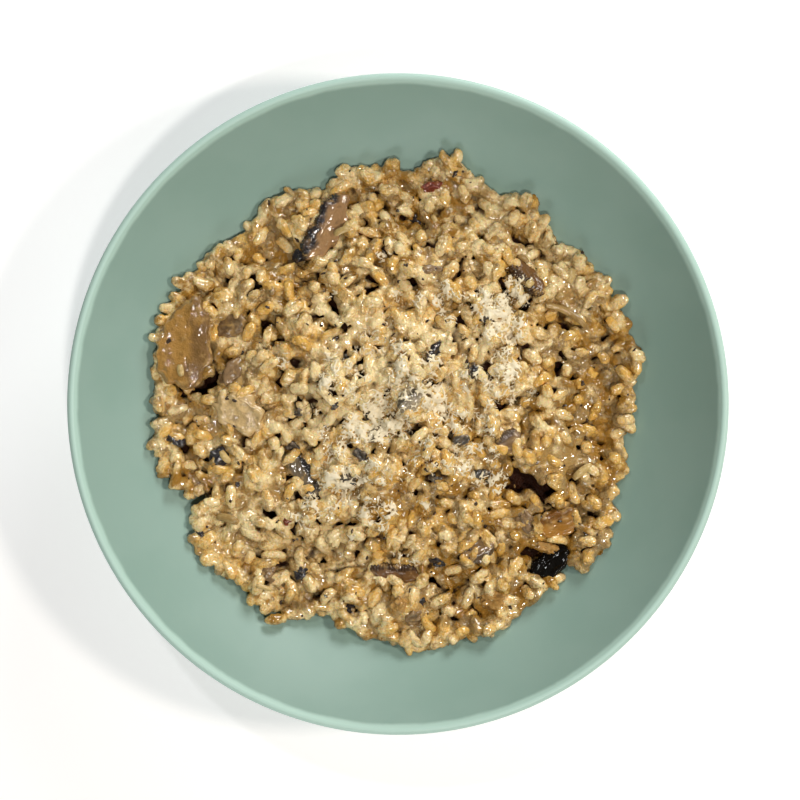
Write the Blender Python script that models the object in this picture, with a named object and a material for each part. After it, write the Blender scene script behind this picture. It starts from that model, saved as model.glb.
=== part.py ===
"""Mushroom risotto heaped in a shallow stoneware bowl.

Metres, +Z up. The origin is the middle of the foot ring's resting plane. Seen from above, +X is
to the right and +Y is away from the eater. The bowl is turned about Z. The risotto is one heap of
rice with an uneven edge, and every mushroom slice as large as a berry lies in a pocket of it.
"""

import math
from typing import NamedTuple

import bmesh
import bpy
from mathutils import Matrix, Vector, noise

# Bowl
BOWL_RADIUS = 0.115
BOWL_HEIGHT = 0.045
LIP_RADIUS = 0.0015  # the lip is rounded over, so its width is twice this
LIP_SLOPE = math.radians(53)  # steepness of the wall where it meets the lip
FLOOR_RADIUS = 0.050  # flat middle of the inside
FLOOR_HEIGHT = 0.0085
BASE_THICKNESS = 0.005
FOOT_RADIUS = 0.056
FOOT_WIDTH = 0.0045
FOOT_CHAMFER = 0.0008
BOWL_SEGMENTS = 80
WALL_STEPS = 6
LIP_ANGLES = (116, 90, 45, 0)  # degrees above level of the lip's points, its top and outer edge included

# The inside wall ends where the rounded lip takes over, square to the wall
WALL_END_RADIUS = BOWL_RADIUS - LIP_RADIUS * (1 + math.sin(LIP_SLOPE))
WALL_END_HEIGHT = BOWL_HEIGHT - LIP_RADIUS * (1 - math.cos(LIP_SLOPE))
WALL_RUN = WALL_END_RADIUS - FLOOR_RADIUS
WALL_RISE = WALL_END_HEIGHT - FLOOR_HEIGHT
WALL_POWER = math.tan(LIP_SLOPE) * WALL_RUN / WALL_RISE

# Risotto
CLEARANCE = 0.0004  # between pieces that touch
HEAP_RADIUS = 0.0855
HEAP_EDGE_HEIGHT = 0.0045  # of the steep face where the outermost rice stands on the bowl
HEAP_SHOULDER = 7  # power of the roll from the top into that face
HEAP_SPREAD_HEIGHT = 0.0255  # top of the spread rice, above the table
HEAP_SPREAD_FALL = 0.0035  # by how much that top drops from the middle to the edge
HEAP_SEGMENTS = 84
HEAP_TOP_RINGS = 14
HEAP_BOTTOM_RINGS = 5
SCOOP_CENTRE = Vector((0.008, 0.010))
SCOOP_RADIUS = 0.050  # last spoonful, on top of the spread rice
SCOOP_HEIGHT = 0.0055
CLUMP_SIZE = 0.016
CLUMP_HEIGHT = 0.0042
PUCK_MIDDLE = 0.5  # height that tells the top of the puck that the heap is made from from its bottom


class Lobe(NamedTuple):
    """A stretch of the heap's edge that reaches out, or in where reach is negative."""

    angle: float  # degrees, anticlockwise from +X
    spread: float  # degrees
    reach: float


LOBES = (
    Lobe(3, 3, -0.0040),
    Lobe(14, 8, 0.0035),
    Lobe(47, 5, -0.0050),
    Lobe(57, 4, 0.0040),
    Lobe(66, 4, -0.0035),
    Lobe(79, 4, 0.0050),
    Lobe(88, 4, -0.0030),
    Lobe(110, 5, -0.0045),
    Lobe(132, 5, -0.0045),
    Lobe(160, 14, 0.0035),
    Lobe(190, 9, 0.0020),
    Lobe(205, 3.5, -0.0090),
    Lobe(218, 7, 0.0025),
    Lobe(240, 3.5, 0.0045),
    Lobe(252, 8, -0.0068),
    Lobe(280, 6, 0.0025),
    Lobe(295, 4, 0.0045),
    Lobe(324, 5, 0.0050),
    Lobe(340, 3, -0.0038),
    Lobe(351, 4, -0.0048),
)


class Slice(NamedTuple):
    """A mushroom slice that lies on the heap, along a direction in plan."""

    name: str
    x: float
    y: float
    yaw: float  # degrees from +X of its long side
    length: float
    width: float
    thickness: float
    taper: float  # how much wider the end that yaw points away from is
    lift: float  # of its middle above the heap's surface
    roll: float  # degrees about its long side
    bend: float  # how far the ends curl up
    on_bowl: bool = False  # it lies on the bowl's wall, at the heap's edge


SLICES = (
    Slice("mushroom_cap_slice", -0.0760, 0.0220, 78, 0.034, 0.0205, 0.0055, 0.22, 0.0030, -6, 0.0010),
    Slice("mushroom_gill_slice", -0.0255, 0.0640, 62, 0.029, 0.0135, 0.0048, 0.10, 0.0012, 14, 0.0012),
    Slice("mushroom_creamy_slice", -0.0565, -0.0030, -35, 0.0205, 0.0160, 0.0050, 0.08, 0.0002, 0, -0.0008),
    Slice("mushroom_tucked_slice", 0.0465, 0.0450, -50, 0.0185, 0.0095, 0.0045, 0.10, 0.0004, -25, 0.0),
    Slice("mushroom_amber_slice", 0.0570, -0.0430, 20, 0.0155, 0.0130, 0.0045, -0.12, 0.0008, 10, 0.0010),
    Slice("mushroom_black_slice", 0.0565, -0.0585, 38, 0.0175, 0.0110, 0.0036, 0.15, 0.0032, 0, 0.0008, True),
    Slice("mushroom_edge_slice", -0.0005, -0.0605, -8, 0.0195, 0.0075, 0.0042, 0.05, 0.0002, 18, 0.0008),
    Slice("mushroom_grey_slice", 0.0290, -0.0525, 25, 0.0125, 0.0095, 0.0040, 0.10, 0.0006, -8, 0.0006),
    Slice("mushroom_middle_slice", 0.0045, 0.0015, 40, 0.0115, 0.0085, 0.0040, 0.10, 0.0004, 6, 0.0),
    Slice("mushroom_left_slice", -0.0345, -0.0240, -60, 0.0145, 0.0090, 0.0042, 0.12, 0.0004, -6, 0.0),
    Slice("mushroom_right_slice", 0.0390, -0.0130, 38, 0.0110, 0.0080, 0.0040, 0.08, 0.0004, 10, 0.0),
)
SLICE_SEGMENTS = 16
SLICE_RINGS = 6
SLICE_SQUARENESS = 0.55  # 1 is a plain ellipsoid, less is more of a slab with round edges
SLICE_RIPPLE = 0.05  # unevenness of a slice's outline
EQUATOR_BAND = 0.01  # half height, on a ball of radius 1, of what counts as its widest ring
POCKET_HEADROOM = 0.012  # how far a slice's pocket opens above it
SLOPE_SPAN = 0.008  # over which the slope under a slice is taken
SLICE_LEAN = 0.45  # how far a slice on the rice follows that slope, where 1 is all the way


# Looks of the plain solids


def plain_material(name, colour, roughness):
    """A material of one colour (linear red, green, blue) and roughness."""
    material = bpy.data.materials.new(name)
    material.use_nodes = True
    shader = material.node_tree.nodes["Principled BSDF"]
    shader.inputs["Base Color"].default_value = (*colour, 1)
    shader.inputs["Roughness"].default_value = roughness
    shader.inputs["Metallic"].default_value = 0
    return material


def add_object(name, mesh, material):
    """Puts a finished mesh in the scene as one named object, shaded smooth with crisp edges."""
    mesh.materials.append(material)
    mesh.shade_smooth()
    mesh.set_sharp_from_angle(angle=math.radians(40))
    made = bpy.data.objects.new(name, mesh)
    bpy.context.scene.collection.objects.link(made)
    return made


def turned(profile, segments):
    """A bmesh turned about Z from (radius, height) points that run from the axis to the axis."""
    made = bmesh.new()
    points = [made.verts.new((radius, 0, height)) for radius, height in profile]
    edges = [made.edges.new(pair) for pair in zip(points, points[1:])]
    bmesh.ops.spin(
        made,
        geom=points + edges,
        axis=(0, 0, 1),
        cent=(0, 0, 0),
        angle=math.tau,
        steps=segments,
        use_merge=True,
    )
    bmesh.ops.remove_doubles(made, verts=made.verts, dist=1e-6)
    bmesh.ops.recalc_face_normals(made, faces=made.faces)
    return made


def mesh_of(made, name):
    """Turns a bmesh into a mesh and frees it."""
    mesh = bpy.data.meshes.new(name)
    made.to_mesh(mesh)
    made.free()
    return mesh


# Bowl


def inside_height(radius):
    """Height of the bowl's inner surface at a radius: a flat floor, then an even upward curve."""
    share = max(0.0, (radius - FLOOR_RADIUS) / WALL_RUN)
    return FLOOR_HEIGHT + WALL_RISE * share**WALL_POWER


def inside_slope(radius):
    """Angle of the inner surface from level at a radius."""
    share = max(0.0, (radius - FLOOR_RADIUS) / WALL_RUN)
    return math.atan(WALL_RISE / WALL_RUN * WALL_POWER * share ** (WALL_POWER - 1))


def wall_radii():
    """Radii of the wall's stations, from the floor to the lip."""
    return [FLOOR_RADIUS + WALL_RUN * step / WALL_STEPS for step in range(WALL_STEPS + 1)]


def lip_points():
    """The lip's half circle, from the inner wall over the top to the outer wall."""
    centre_radius = BOWL_RADIUS - LIP_RADIUS
    centre_height = BOWL_HEIGHT - LIP_RADIUS
    for angle in map(math.radians, LIP_ANGLES):
        yield (
            centre_radius + LIP_RADIUS * math.cos(angle),
            centre_height + LIP_RADIUS * math.sin(angle),
        )


def outside_points():
    """The outer wall from the lip to the foot, offset from the inner wall by its thickness."""
    for radius in reversed(wall_radii()):
        share = (radius - FLOOR_RADIUS) / WALL_RUN
        thickness = BASE_THICKNESS + share * (2 * LIP_RADIUS - BASE_THICKNESS)
        slope = inside_slope(radius)
        outer_radius = radius + thickness * math.sin(slope)
        if outer_radius > FOOT_RADIUS:
            yield outer_radius, inside_height(radius) - thickness * math.cos(slope)


def foot_points():
    """The foot ring and the underside, from the outer wall to the axis."""
    under = FLOOR_HEIGHT - BASE_THICKNESS
    inner = FOOT_RADIUS - FOOT_WIDTH
    yield FOOT_RADIUS, under
    yield FOOT_RADIUS, FOOT_CHAMFER
    yield FOOT_RADIUS - FOOT_CHAMFER, 0
    yield inner + FOOT_CHAMFER, 0
    yield inner, FOOT_CHAMFER
    yield inner, under
    yield 0, under


def make_bowl():
    """The bowl, turned from one closed profile."""
    profile = [(0, FLOOR_HEIGHT)]
    profile += [(radius, inside_height(radius)) for radius in wall_radii()]
    profile += lip_points()
    profile += outside_points()
    profile += foot_points()
    glaze = plain_material("sage_glaze", (0.25, 0.42, 0.35), 0.3)
    add_object("bowl", mesh_of(turned(profile, BOWL_SEGMENTS), "bowl"), glaze)


# Heap


def heap_outline(angle):
    """Radius of the heap's edge at an angle."""
    reach = 0.0
    for lobe in LOBES:
        away = math.remainder(angle - math.radians(lobe.angle), math.tau)
        reach += lobe.reach * math.exp(-((away / math.radians(lobe.spread)) ** 2))
    return HEAP_RADIUS + reach


def heap_surface(x, y):
    """Height of the rice at a point inside the edge, before it rolls over at the edge."""
    place = Vector((x, y))
    spread = HEAP_SPREAD_HEIGHT - HEAP_SPREAD_FALL * (place.length / HEAP_RADIUS) ** 2
    scoop = SCOOP_HEIGHT * math.exp(-(((place - SCOOP_CENTRE).length / SCOOP_RADIUS) ** 4))
    clumps = CLUMP_HEIGHT * noise.noise(Vector((x, y, 0)) / CLUMP_SIZE)
    return spread + scoop + clumps


def heap_point(share, angle, is_top):
    """A point of the heap's skin at a share of the way from its middle to its edge."""
    radius = share * heap_outline(angle)
    x, y = radius * math.cos(angle), radius * math.sin(angle)
    bottom = inside_height(radius) + CLEARANCE
    if not is_top:
        return Vector((x, y, bottom))
    roll = math.sqrt(1 - share**HEAP_SHOULDER)
    face = bottom + HEAP_EDGE_HEIGHT
    return Vector((x, y, face + (heap_surface(x, y) - face) * roll))


def make_heap():
    """The heap: a puck of radius and height 1 is turned, then each point is put on the heap's skin."""
    top = [(step / HEAP_TOP_RINGS, 1) for step in range(HEAP_TOP_RINGS + 1)]
    bottom = [(step / HEAP_BOTTOM_RINGS, 0) for step in range(HEAP_BOTTOM_RINGS, -1, -1)]
    made = turned(top + bottom, HEAP_SEGMENTS)
    for vertex in made.verts:
        share = min(1.0, vertex.co.xy.length)
        angle = math.atan2(vertex.co.y, vertex.co.x)
        is_top = vertex.co.z > PUCK_MIDDLE
        # Rings crowd towards the edge on top, where the heap rolls over
        vertex.co = heap_point(math.sin(share * math.pi / 2) if is_top else share, angle, is_top)
    rice = plain_material("creamy_rice", (0.62, 0.42, 0.20), 0.4)
    heap = add_object("risotto_heap", mesh_of(made, "risotto_heap"), rice)
    for piece in SLICES:
        pocket = heap.modifiers.new("pocket_" + piece.name, "BOOLEAN")
        pocket.operation = "DIFFERENCE"
        pocket.object = make_cutter(piece)


# Mushroom slices


def slice_mesh(piece, name, grow, headroom):
    """A slice in its own place: a slab with round edges, a wider end and curled ends.

    Grow widens it all round, and headroom raises its upper half, for the pocket that it lies in.
    """
    made = bmesh.new()
    bmesh.ops.create_uvsphere(made, u_segments=SLICE_SEGMENTS, v_segments=SLICE_RINGS, radius=1)
    half = Vector((piece.length, piece.width, piece.thickness)) / 2 + Vector((grow, grow, grow))
    for vertex in made.verts:
        across = vertex.co.xy.length
        angle = math.atan2(vertex.co.y, vertex.co.x)
        plump = across**SLICE_SQUARENESS * (1 + SLICE_RIPPLE * math.sin(3 * angle + piece.yaw))
        x = plump * math.cos(angle)
        y = plump * math.sin(angle) * (1 - piece.taper * x)
        z = math.copysign(abs(vertex.co.z) ** SLICE_SQUARENESS, vertex.co.z)
        is_upper = vertex.co.z > EQUATOR_BAND
        lift = piece.bend * x * x + (headroom if is_upper else 0)
        vertex.co = Vector((x * half.x, y * half.y, z * half.z + lift))
    bmesh.ops.transform(made, matrix=slice_place(piece), verts=made.verts)
    return mesh_of(made, name)


def slice_place(piece):
    """Where a slice lies: flat on the slope under it, turned by its yaw and roll."""
    height = bowl_height if piece.on_bowl else heap_height
    here = Vector((piece.x, piece.y, height(piece.x, piece.y)))
    reach = SLOPE_SPAN / 2
    rise_x = height(here.x + reach, here.y) - height(here.x - reach, here.y)
    rise_y = height(here.x, here.y + reach) - height(here.x, here.y - reach)
    lean_share = 1 if piece.on_bowl else SLICE_LEAN
    normal = Vector((-rise_x * lean_share, -rise_y * lean_share, SLOPE_SPAN)).normalized()
    lean = Vector((0, 0, 1)).rotation_difference(normal).to_matrix().to_4x4()
    yaw = Matrix.Rotation(math.radians(piece.yaw), 4, "Z")
    roll = Matrix.Rotation(math.radians(piece.roll), 4, "X")
    return Matrix.Translation(here + normal * piece.lift) @ lean @ yaw @ roll


def heap_height(x, y):
    """Height of the heap's finished top at a point."""
    angle = math.atan2(y, x)
    share = min(1.0, math.hypot(x, y) / heap_outline(angle))
    return heap_point(share, angle, True).z


def bowl_height(x, y):
    """Height of the bowl's inner surface at a point."""
    return inside_height(math.hypot(x, y))


def make_cutter(piece):
    """The pocket of a slice, as a hidden cutter."""
    mesh = slice_mesh(piece, "pocket_" + piece.name, CLEARANCE, POCKET_HEADROOM)
    cutter = bpy.data.objects.new("pocket_" + piece.name, mesh)
    cutter.hide_render = True
    cutter.display_type = "WIRE"
    bpy.context.scene.collection.objects.link(cutter)
    return cutter


def make_slices():
    """Every mushroom slice as its own solid."""
    flesh = plain_material("mushroom", (0.22, 0.13, 0.07), 0.35)
    for piece in SLICES:
        add_object(piece.name, slice_mesh(piece, piece.name, 0, 0), flesh)


def main():
    """Clears the scene and makes the bowl, the heap and the slices."""
    for old in list(bpy.data.objects):
        bpy.data.objects.remove(old)
    make_bowl()
    make_heap()
    make_slices()


main()
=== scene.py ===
"""Mushroom risotto in a shallow sage green bowl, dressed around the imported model.

Metres, +Z up, +X to the diner's right and +Y away from the diner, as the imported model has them. The
bowl is turned from its profile. The rice is a creamy bed, grown together from single grains over a
smaller core, with loose grains on top. The mushroom slices, small bits of mushroom and onion, and the
grated cheese lie on it.
"""

import logging
import math
from collections.abc import Iterable, Iterator
from dataclasses import dataclass, field
from enum import Enum
from functools import cache
from random import Random
from typing import NamedTuple

import bmesh
import bpy
import numpy as np
from bmesh.types import BMesh, BMFace
from bpy.types import ID, Material, Mesh, Node, NodeSocket, NodeTree, Object
from mathutils import Matrix, Vector, noise
from mathutils.bvhtree import BVHTree
from mathutils.kdtree import KDTree


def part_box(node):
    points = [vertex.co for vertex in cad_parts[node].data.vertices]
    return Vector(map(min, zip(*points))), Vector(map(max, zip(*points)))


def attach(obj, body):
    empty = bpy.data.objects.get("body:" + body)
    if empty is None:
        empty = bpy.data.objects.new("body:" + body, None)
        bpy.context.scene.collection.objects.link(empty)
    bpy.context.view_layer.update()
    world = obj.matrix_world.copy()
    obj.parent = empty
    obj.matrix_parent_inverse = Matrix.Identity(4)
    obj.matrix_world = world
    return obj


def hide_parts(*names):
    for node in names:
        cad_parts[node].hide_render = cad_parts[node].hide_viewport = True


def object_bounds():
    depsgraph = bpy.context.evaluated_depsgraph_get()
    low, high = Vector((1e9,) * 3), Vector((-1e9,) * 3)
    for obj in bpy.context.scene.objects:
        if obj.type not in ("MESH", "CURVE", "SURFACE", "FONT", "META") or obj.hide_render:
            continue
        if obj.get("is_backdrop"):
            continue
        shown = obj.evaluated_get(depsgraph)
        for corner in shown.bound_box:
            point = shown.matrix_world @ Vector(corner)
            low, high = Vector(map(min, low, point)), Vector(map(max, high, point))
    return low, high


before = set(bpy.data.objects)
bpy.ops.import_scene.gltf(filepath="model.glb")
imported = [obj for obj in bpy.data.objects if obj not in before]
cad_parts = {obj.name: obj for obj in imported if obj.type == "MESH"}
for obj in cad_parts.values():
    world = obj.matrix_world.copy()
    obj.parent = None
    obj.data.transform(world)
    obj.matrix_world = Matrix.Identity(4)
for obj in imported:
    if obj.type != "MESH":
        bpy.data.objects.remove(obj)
CAD_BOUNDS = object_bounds()

MM = 0.001
ABOVE_ALL = 0.1  # height from which rays are cast down on the food
MOST_TOPPING = 20 * MM  # a topping that reaches farther is many bits, strewn about
DOWN = Vector((0, 0, -1))
UP = Vector((0, 0, 1))
WELD = 1e-6  # points nearer to each other than this are one
WET = 1.75  # refraction of the wet films, above real water's so that small glints show
FINE_SHARE = 0.45  # height of the fine bumps of a wet film, beside the coarse ones
LIP_BREAK = (1.5, 0.5)  # where the glaze turns pale: lip radii below the lip's top
log = logging.getLogger("risotto")

Colour = tuple[float, float, float]
Span = tuple[float, float]


# Meshes


@dataclass(frozen=True)
class Form:
    """A small shape that is repeated many times.

    Attributes:
        points: its points, one row each.
        corners: the index of the point at each corner of each face, face after face.
        starts: where each face's corners begin in that list.
    """

    points: np.ndarray
    corners: np.ndarray
    starts: np.ndarray

    @classmethod
    def of(cls, made: BMesh) -> "Form":
        """Reads a bmesh and frees it.

        Args:
            made: the shape.

        Returns:
            The same shape as arrays.
        """
        made.verts.index_update()
        points = np.array([vertex.co for vertex in made.verts])
        corners = [vertex.index for face in made.faces for vertex in face.verts]
        sizes = [len(face.verts) for face in made.faces]
        made.free()
        return cls(points, np.array(corners), np.cumsum([0] + sizes[:-1]))

    def placed(self, place: Matrix) -> np.ndarray:
        """Returns the form's points, moved, turned and scaled by a matrix."""
        matrix = np.array(place)
        return self.points @ matrix[:3, :3].T + matrix[:3, 3]

    def ruffled(self, depth: float, shift: float) -> "Form":
        """Pushes the points away from their middle or towards it by noise.

        Args:
            depth: how far they move at most, and how wide a lump is.
            shift: picks another part of the noise.

        Returns:
            The uneven form.
        """
        away = self.points - self.points.mean(axis=0)
        length = np.linalg.norm(away, axis=1, keepdims=True)
        lumps = noise_at(self.points, depth, shift)[:, None]
        points = self.points + away / np.maximum(length, WELD) * lumps * depth
        return Form(points, self.corners, self.starts)


class Swarm:
    """Copies of small forms, gathered into one mesh."""

    def __init__(self) -> None:
        """Starts with no copies."""
        self.points: list[np.ndarray] = []
        self.corners: list[np.ndarray] = []
        self.starts: list[np.ndarray] = []
        self.tints: list[np.ndarray] = []
        self.point_count = 0
        self.corner_count = 0

    def add(self, form: Form, points: np.ndarray, tint: float = 0.0) -> None:
        """Adds one copy.

        Args:
            form: the shape.
            points: the shape's points, put in place.
            tint: a number from 0 to 1 that sets this copy's shade.
        """
        self.points.append(points)
        self.corners.append(form.corners + self.point_count)
        self.starts.append(form.starts + self.corner_count)
        self.tints.append(np.full(len(form.points), tint))
        self.point_count += len(form.points)
        self.corner_count += len(form.corners)

    def mesh(self, name: str) -> Mesh:
        """Joins the copies.

        Args:
            name: the mesh's name.

        Returns:
            A mesh with a point attribute "tint".
        """
        mesh = bpy.data.meshes.new(name)
        starts = np.concatenate(self.starts)
        mesh.vertices.add(self.point_count)
        mesh.loops.add(self.corner_count)
        mesh.polygons.add(len(starts))
        mesh.vertices.foreach_set("co", np.concatenate(self.points).ravel())
        mesh.loops.foreach_set("vertex_index", np.concatenate(self.corners))
        mesh.polygons.foreach_set("loop_start", starts)
        mesh.update(calc_edges=True)
        mesh.validate()
        set_values(mesh, "tint", np.concatenate(self.tints))
        return mesh


@cache
def ball(subdivisions: int) -> Form:
    """Returns a ball of diameter 1 made of triangles."""
    made = bmesh.new()
    bmesh.ops.create_icosphere(made, subdivisions=subdivisions, radius=0.5)
    return Form.of(made)


def bar(steps: int) -> Form:
    """Returns a cube of side 1 with steps along X, to be bent."""
    made = bmesh.new()
    bmesh.ops.create_cube(made, size=1)
    along = [edge for edge in made.edges if abs(edge.verts[0].co.x - edge.verts[1].co.x) > 0.5]
    bmesh.ops.subdivide_edges(made, edges=along, cuts=steps - 1)
    return Form.of(made)


def toward(angle: float) -> Vector:
    """Returns the level direction at an angle from +X."""
    return Vector((math.cos(angle), math.sin(angle), 0))


def anywhere(dice: Random, reach: float) -> tuple[float, float]:
    """Returns a random place in a circle round the middle, as x and y."""
    radius = reach * math.sqrt(dice.random())
    angle = dice.uniform(0, math.tau)
    return radius * math.cos(angle), radius * math.sin(angle)


def spun(dice: Random) -> Matrix:
    """Returns a random turn about Z."""
    return Matrix.Rotation(dice.uniform(0, math.pi), 4, "Z")


def tumbled(dice: Random) -> Matrix:
    """Returns a random turn about an axis that leans at random."""
    return Matrix.Rotation(dice.uniform(0, math.pi), 4, (dice.random(), dice.random(), 1))


def placing(spot: Iterable[float], turn: Matrix, size: Iterable[float]) -> Matrix:
    """Returns the matrix that scales a shape of size 1, turns it and puts it in a spot."""
    return Matrix.Translation(spot) @ turn @ Matrix.Diagonal((*size, 1))


def noise_at(points: np.ndarray, size: float, shift: float = 0.0) -> np.ndarray:
    """Returns smooth noise from about -1 to 1 at each point, with lumps of a size."""
    return np.array([noise.noise(place) for place in (points / size + shift).tolist()])


def lumps_at(points: np.ndarray, size: float, shift: float = 0.0) -> np.ndarray:
    """Returns round lumps with sharp creases between them, about -0.4 in a crease and 1 on a lump."""
    return 2.4 * np.abs(noise_at(points, size, shift)) - 0.4


def eased(values: np.ndarray, low: float, high: float) -> np.ndarray:
    """Stretches values from low and high to 0 and 1, eased at both ends."""
    share = np.clip((values - low) / (high - low), 0, 1)
    return share * share * (3 - 2 * share)


def points_of(mesh: Mesh, what: str = "co") -> np.ndarray:
    """Returns the mesh's points, or another vector of each point, one row each."""
    flat = np.empty(len(mesh.vertices) * 3, np.float32)
    mesh.vertices.foreach_get(what, flat)
    return flat.reshape(-1, 3).astype(float)


def normals_of(mesh: Mesh) -> np.ndarray:
    """Returns the normal at each of the mesh's points, one row each."""
    return points_of(mesh, "normal")


def set_points(mesh: Mesh, points: np.ndarray) -> None:
    """Moves the mesh's points to these rows."""
    mesh.vertices.foreach_set("co", points.astype(np.float32).ravel())
    mesh.update()


def set_values(mesh: Mesh, name: str, values: np.ndarray) -> None:
    """Stores one number for each of the mesh's points, for a finish to read."""
    attribute = mesh.attributes.new(name, "FLOAT", "POINT")
    attribute.data.foreach_set("value", values.astype(np.float32))


def push_out(mesh: Mesh, push: np.ndarray) -> None:
    """Moves each of the mesh's points out along its normal."""
    set_points(mesh, points_of(mesh) + normals_of(mesh) * push[:, None])


def put(name: str, data: ID) -> Object:
    """Puts a new object in the scene."""
    made = bpy.data.objects.new(name, data)
    bpy.context.scene.collection.objects.link(made)
    return made


def in_order(made: BMesh) -> BMesh:
    """Sorts a shape's faces, because some operators leave them in another order each run.

    Args:
        made: the shape, whose faces share no more than two points with each other.

    Returns:
        The same shape.
    """
    made.verts.index_update()
    count = len(made.verts)

    def rank(face: BMFace) -> int:
        """Returns a number that no other face has, from its three lowest points."""
        first, second, third = sorted(vertex.index for vertex in face.verts)[:3]
        return (first * count + second) * count + third

    made.faces.sort(key=rank)
    return made


def mesh_of(made: BMesh, name: str) -> Mesh:
    """Turns a bmesh into a mesh and frees it."""
    mesh = bpy.data.meshes.new(name)
    made.to_mesh(mesh)
    made.free()
    return mesh


def turned(profile: list[tuple[float, float]], segments: int) -> BMesh:
    """Turns a profile about Z.

    Args:
        profile: (radius, height) points that run from the axis to the axis.
        segments: steps of the turn.

    Returns:
        The closed shape.
    """
    made = bmesh.new()
    points = [made.verts.new((radius, 0, height)) for radius, height in profile]
    edges = [made.edges.new(pair) for pair in zip(points, points[1:])]
    bmesh.ops.spin(
        made,
        geom=points + edges,
        axis=(0, 0, 1),
        cent=(0, 0, 0),
        angle=math.tau,
        steps=segments,
        use_merge=True,
    )
    bmesh.ops.remove_doubles(made, verts=made.verts, dist=WELD)
    bmesh.ops.recalc_face_normals(made, faces=made.faces)
    return in_order(made)


def remade(mesh: Mesh, *modifiers: tuple[str, dict]) -> Mesh:
    """Applies modifiers to a mesh.

    Args:
        mesh: the mesh, which is removed.
        modifiers: for each modifier, its type and its settings.

    Returns:
        The new mesh.
    """
    holder = put(mesh.name, mesh)
    for kind, settings in modifiers:
        modifier = holder.modifiers.new(kind.lower(), kind)
        for name, value in settings.items():
            setattr(modifier, name, value)
    graph = bpy.context.evaluated_depsgraph_get()
    result = bpy.data.meshes.new_from_object(holder.evaluated_get(graph))
    bpy.data.objects.remove(holder)
    bpy.data.meshes.remove(mesh)
    return result


def thinned(mesh: Mesh, most: int) -> Mesh:
    """Collapses edges where the skin is smooth until it has few enough triangles.

    Args:
        mesh: the mesh, which may be removed.
        most: number of triangles to come down to.

    Returns:
        The thinner mesh.
    """
    mesh.calc_loop_triangles()
    share = most / len(mesh.loop_triangles)
    return mesh if share >= 1 else remade(mesh, ("DECIMATE", {"ratio": share}))


def grown_together(mesh: Mesh, name: str, voxel: float, smoothing: int) -> Mesh:
    """Melts the overlapping shapes of a mesh into one skin.

    Args:
        mesh: closed shapes that overlap. It is removed.
        name: the new mesh's name.
        voxel: size of the smallest detail kept.
        smoothing: how many times the skin is smoothed, which fills its creases.

    Returns:
        The skin, without the sealed bubbles between the shapes.
    """
    remesh = ("REMESH", {"mode": "VOXEL", "voxel_size": voxel})
    skin = remade(mesh, remesh, ("SMOOTH", {"factor": 0.5, "iterations": smoothing}))
    skin = without_bubbles(skin)
    skin.name = name
    return skin


def without_bubbles(mesh: Mesh) -> Mesh:
    """Drops the shells that face inwards, which are bubbles between grains.

    Args:
        mesh: one or more closed shells.

    Returns:
        The same mesh with only its outward facing shells.
    """
    mesh.calc_loop_triangles()
    corners = np.empty(len(mesh.loop_triangles) * 3, np.int32)
    mesh.loop_triangles.foreach_get("vertices", corners)
    corners = corners.reshape(-1, 3)
    label = np.arange(len(mesh.vertices))
    ends = np.concatenate([corners[:, :2], corners[:, 1:]])
    while True:
        lowest = np.minimum(label[ends[:, 0]], label[ends[:, 1]])
        spread = label.copy()
        np.minimum.at(spread, ends[:, 0], lowest)
        np.minimum.at(spread, ends[:, 1], lowest)
        spread = spread[spread]
        if (spread == label).all():
            break
        label = spread
    points = points_of(mesh)[corners]
    parts = np.einsum("ij,ij->i", points[:, 0], np.cross(points[:, 1], points[:, 2]))
    volume = np.bincount(label[corners[:, 0]], weights=parts, minlength=len(label))
    doomed = set(np.flatnonzero(volume[label] <= 0).tolist())
    if not doomed:
        return mesh
    made = bmesh.new()
    made.from_mesh(mesh)
    gone = [vertex for vertex in made.verts if vertex.index in doomed]
    bmesh.ops.delete(made, geom=gone, context="VERTS")
    made.to_mesh(mesh)
    made.free()
    return mesh


def add_piece(name: str, mesh: Mesh, finish: Material, slot: str, *nodes: str) -> Object:
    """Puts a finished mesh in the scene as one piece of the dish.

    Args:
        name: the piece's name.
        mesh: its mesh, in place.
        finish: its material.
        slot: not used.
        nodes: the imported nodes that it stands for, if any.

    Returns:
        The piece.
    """
    mesh.materials.clear()
    mesh.materials.append(finish)
    mesh.shade_smooth()
    piece = put(name, mesh)
    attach(piece, "root")
    if nodes:
        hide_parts(*nodes)
    mesh.calc_loop_triangles()
    log.info("%s: %d triangles", name, len(mesh.loop_triangles))
    return piece


# Finishes


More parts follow.
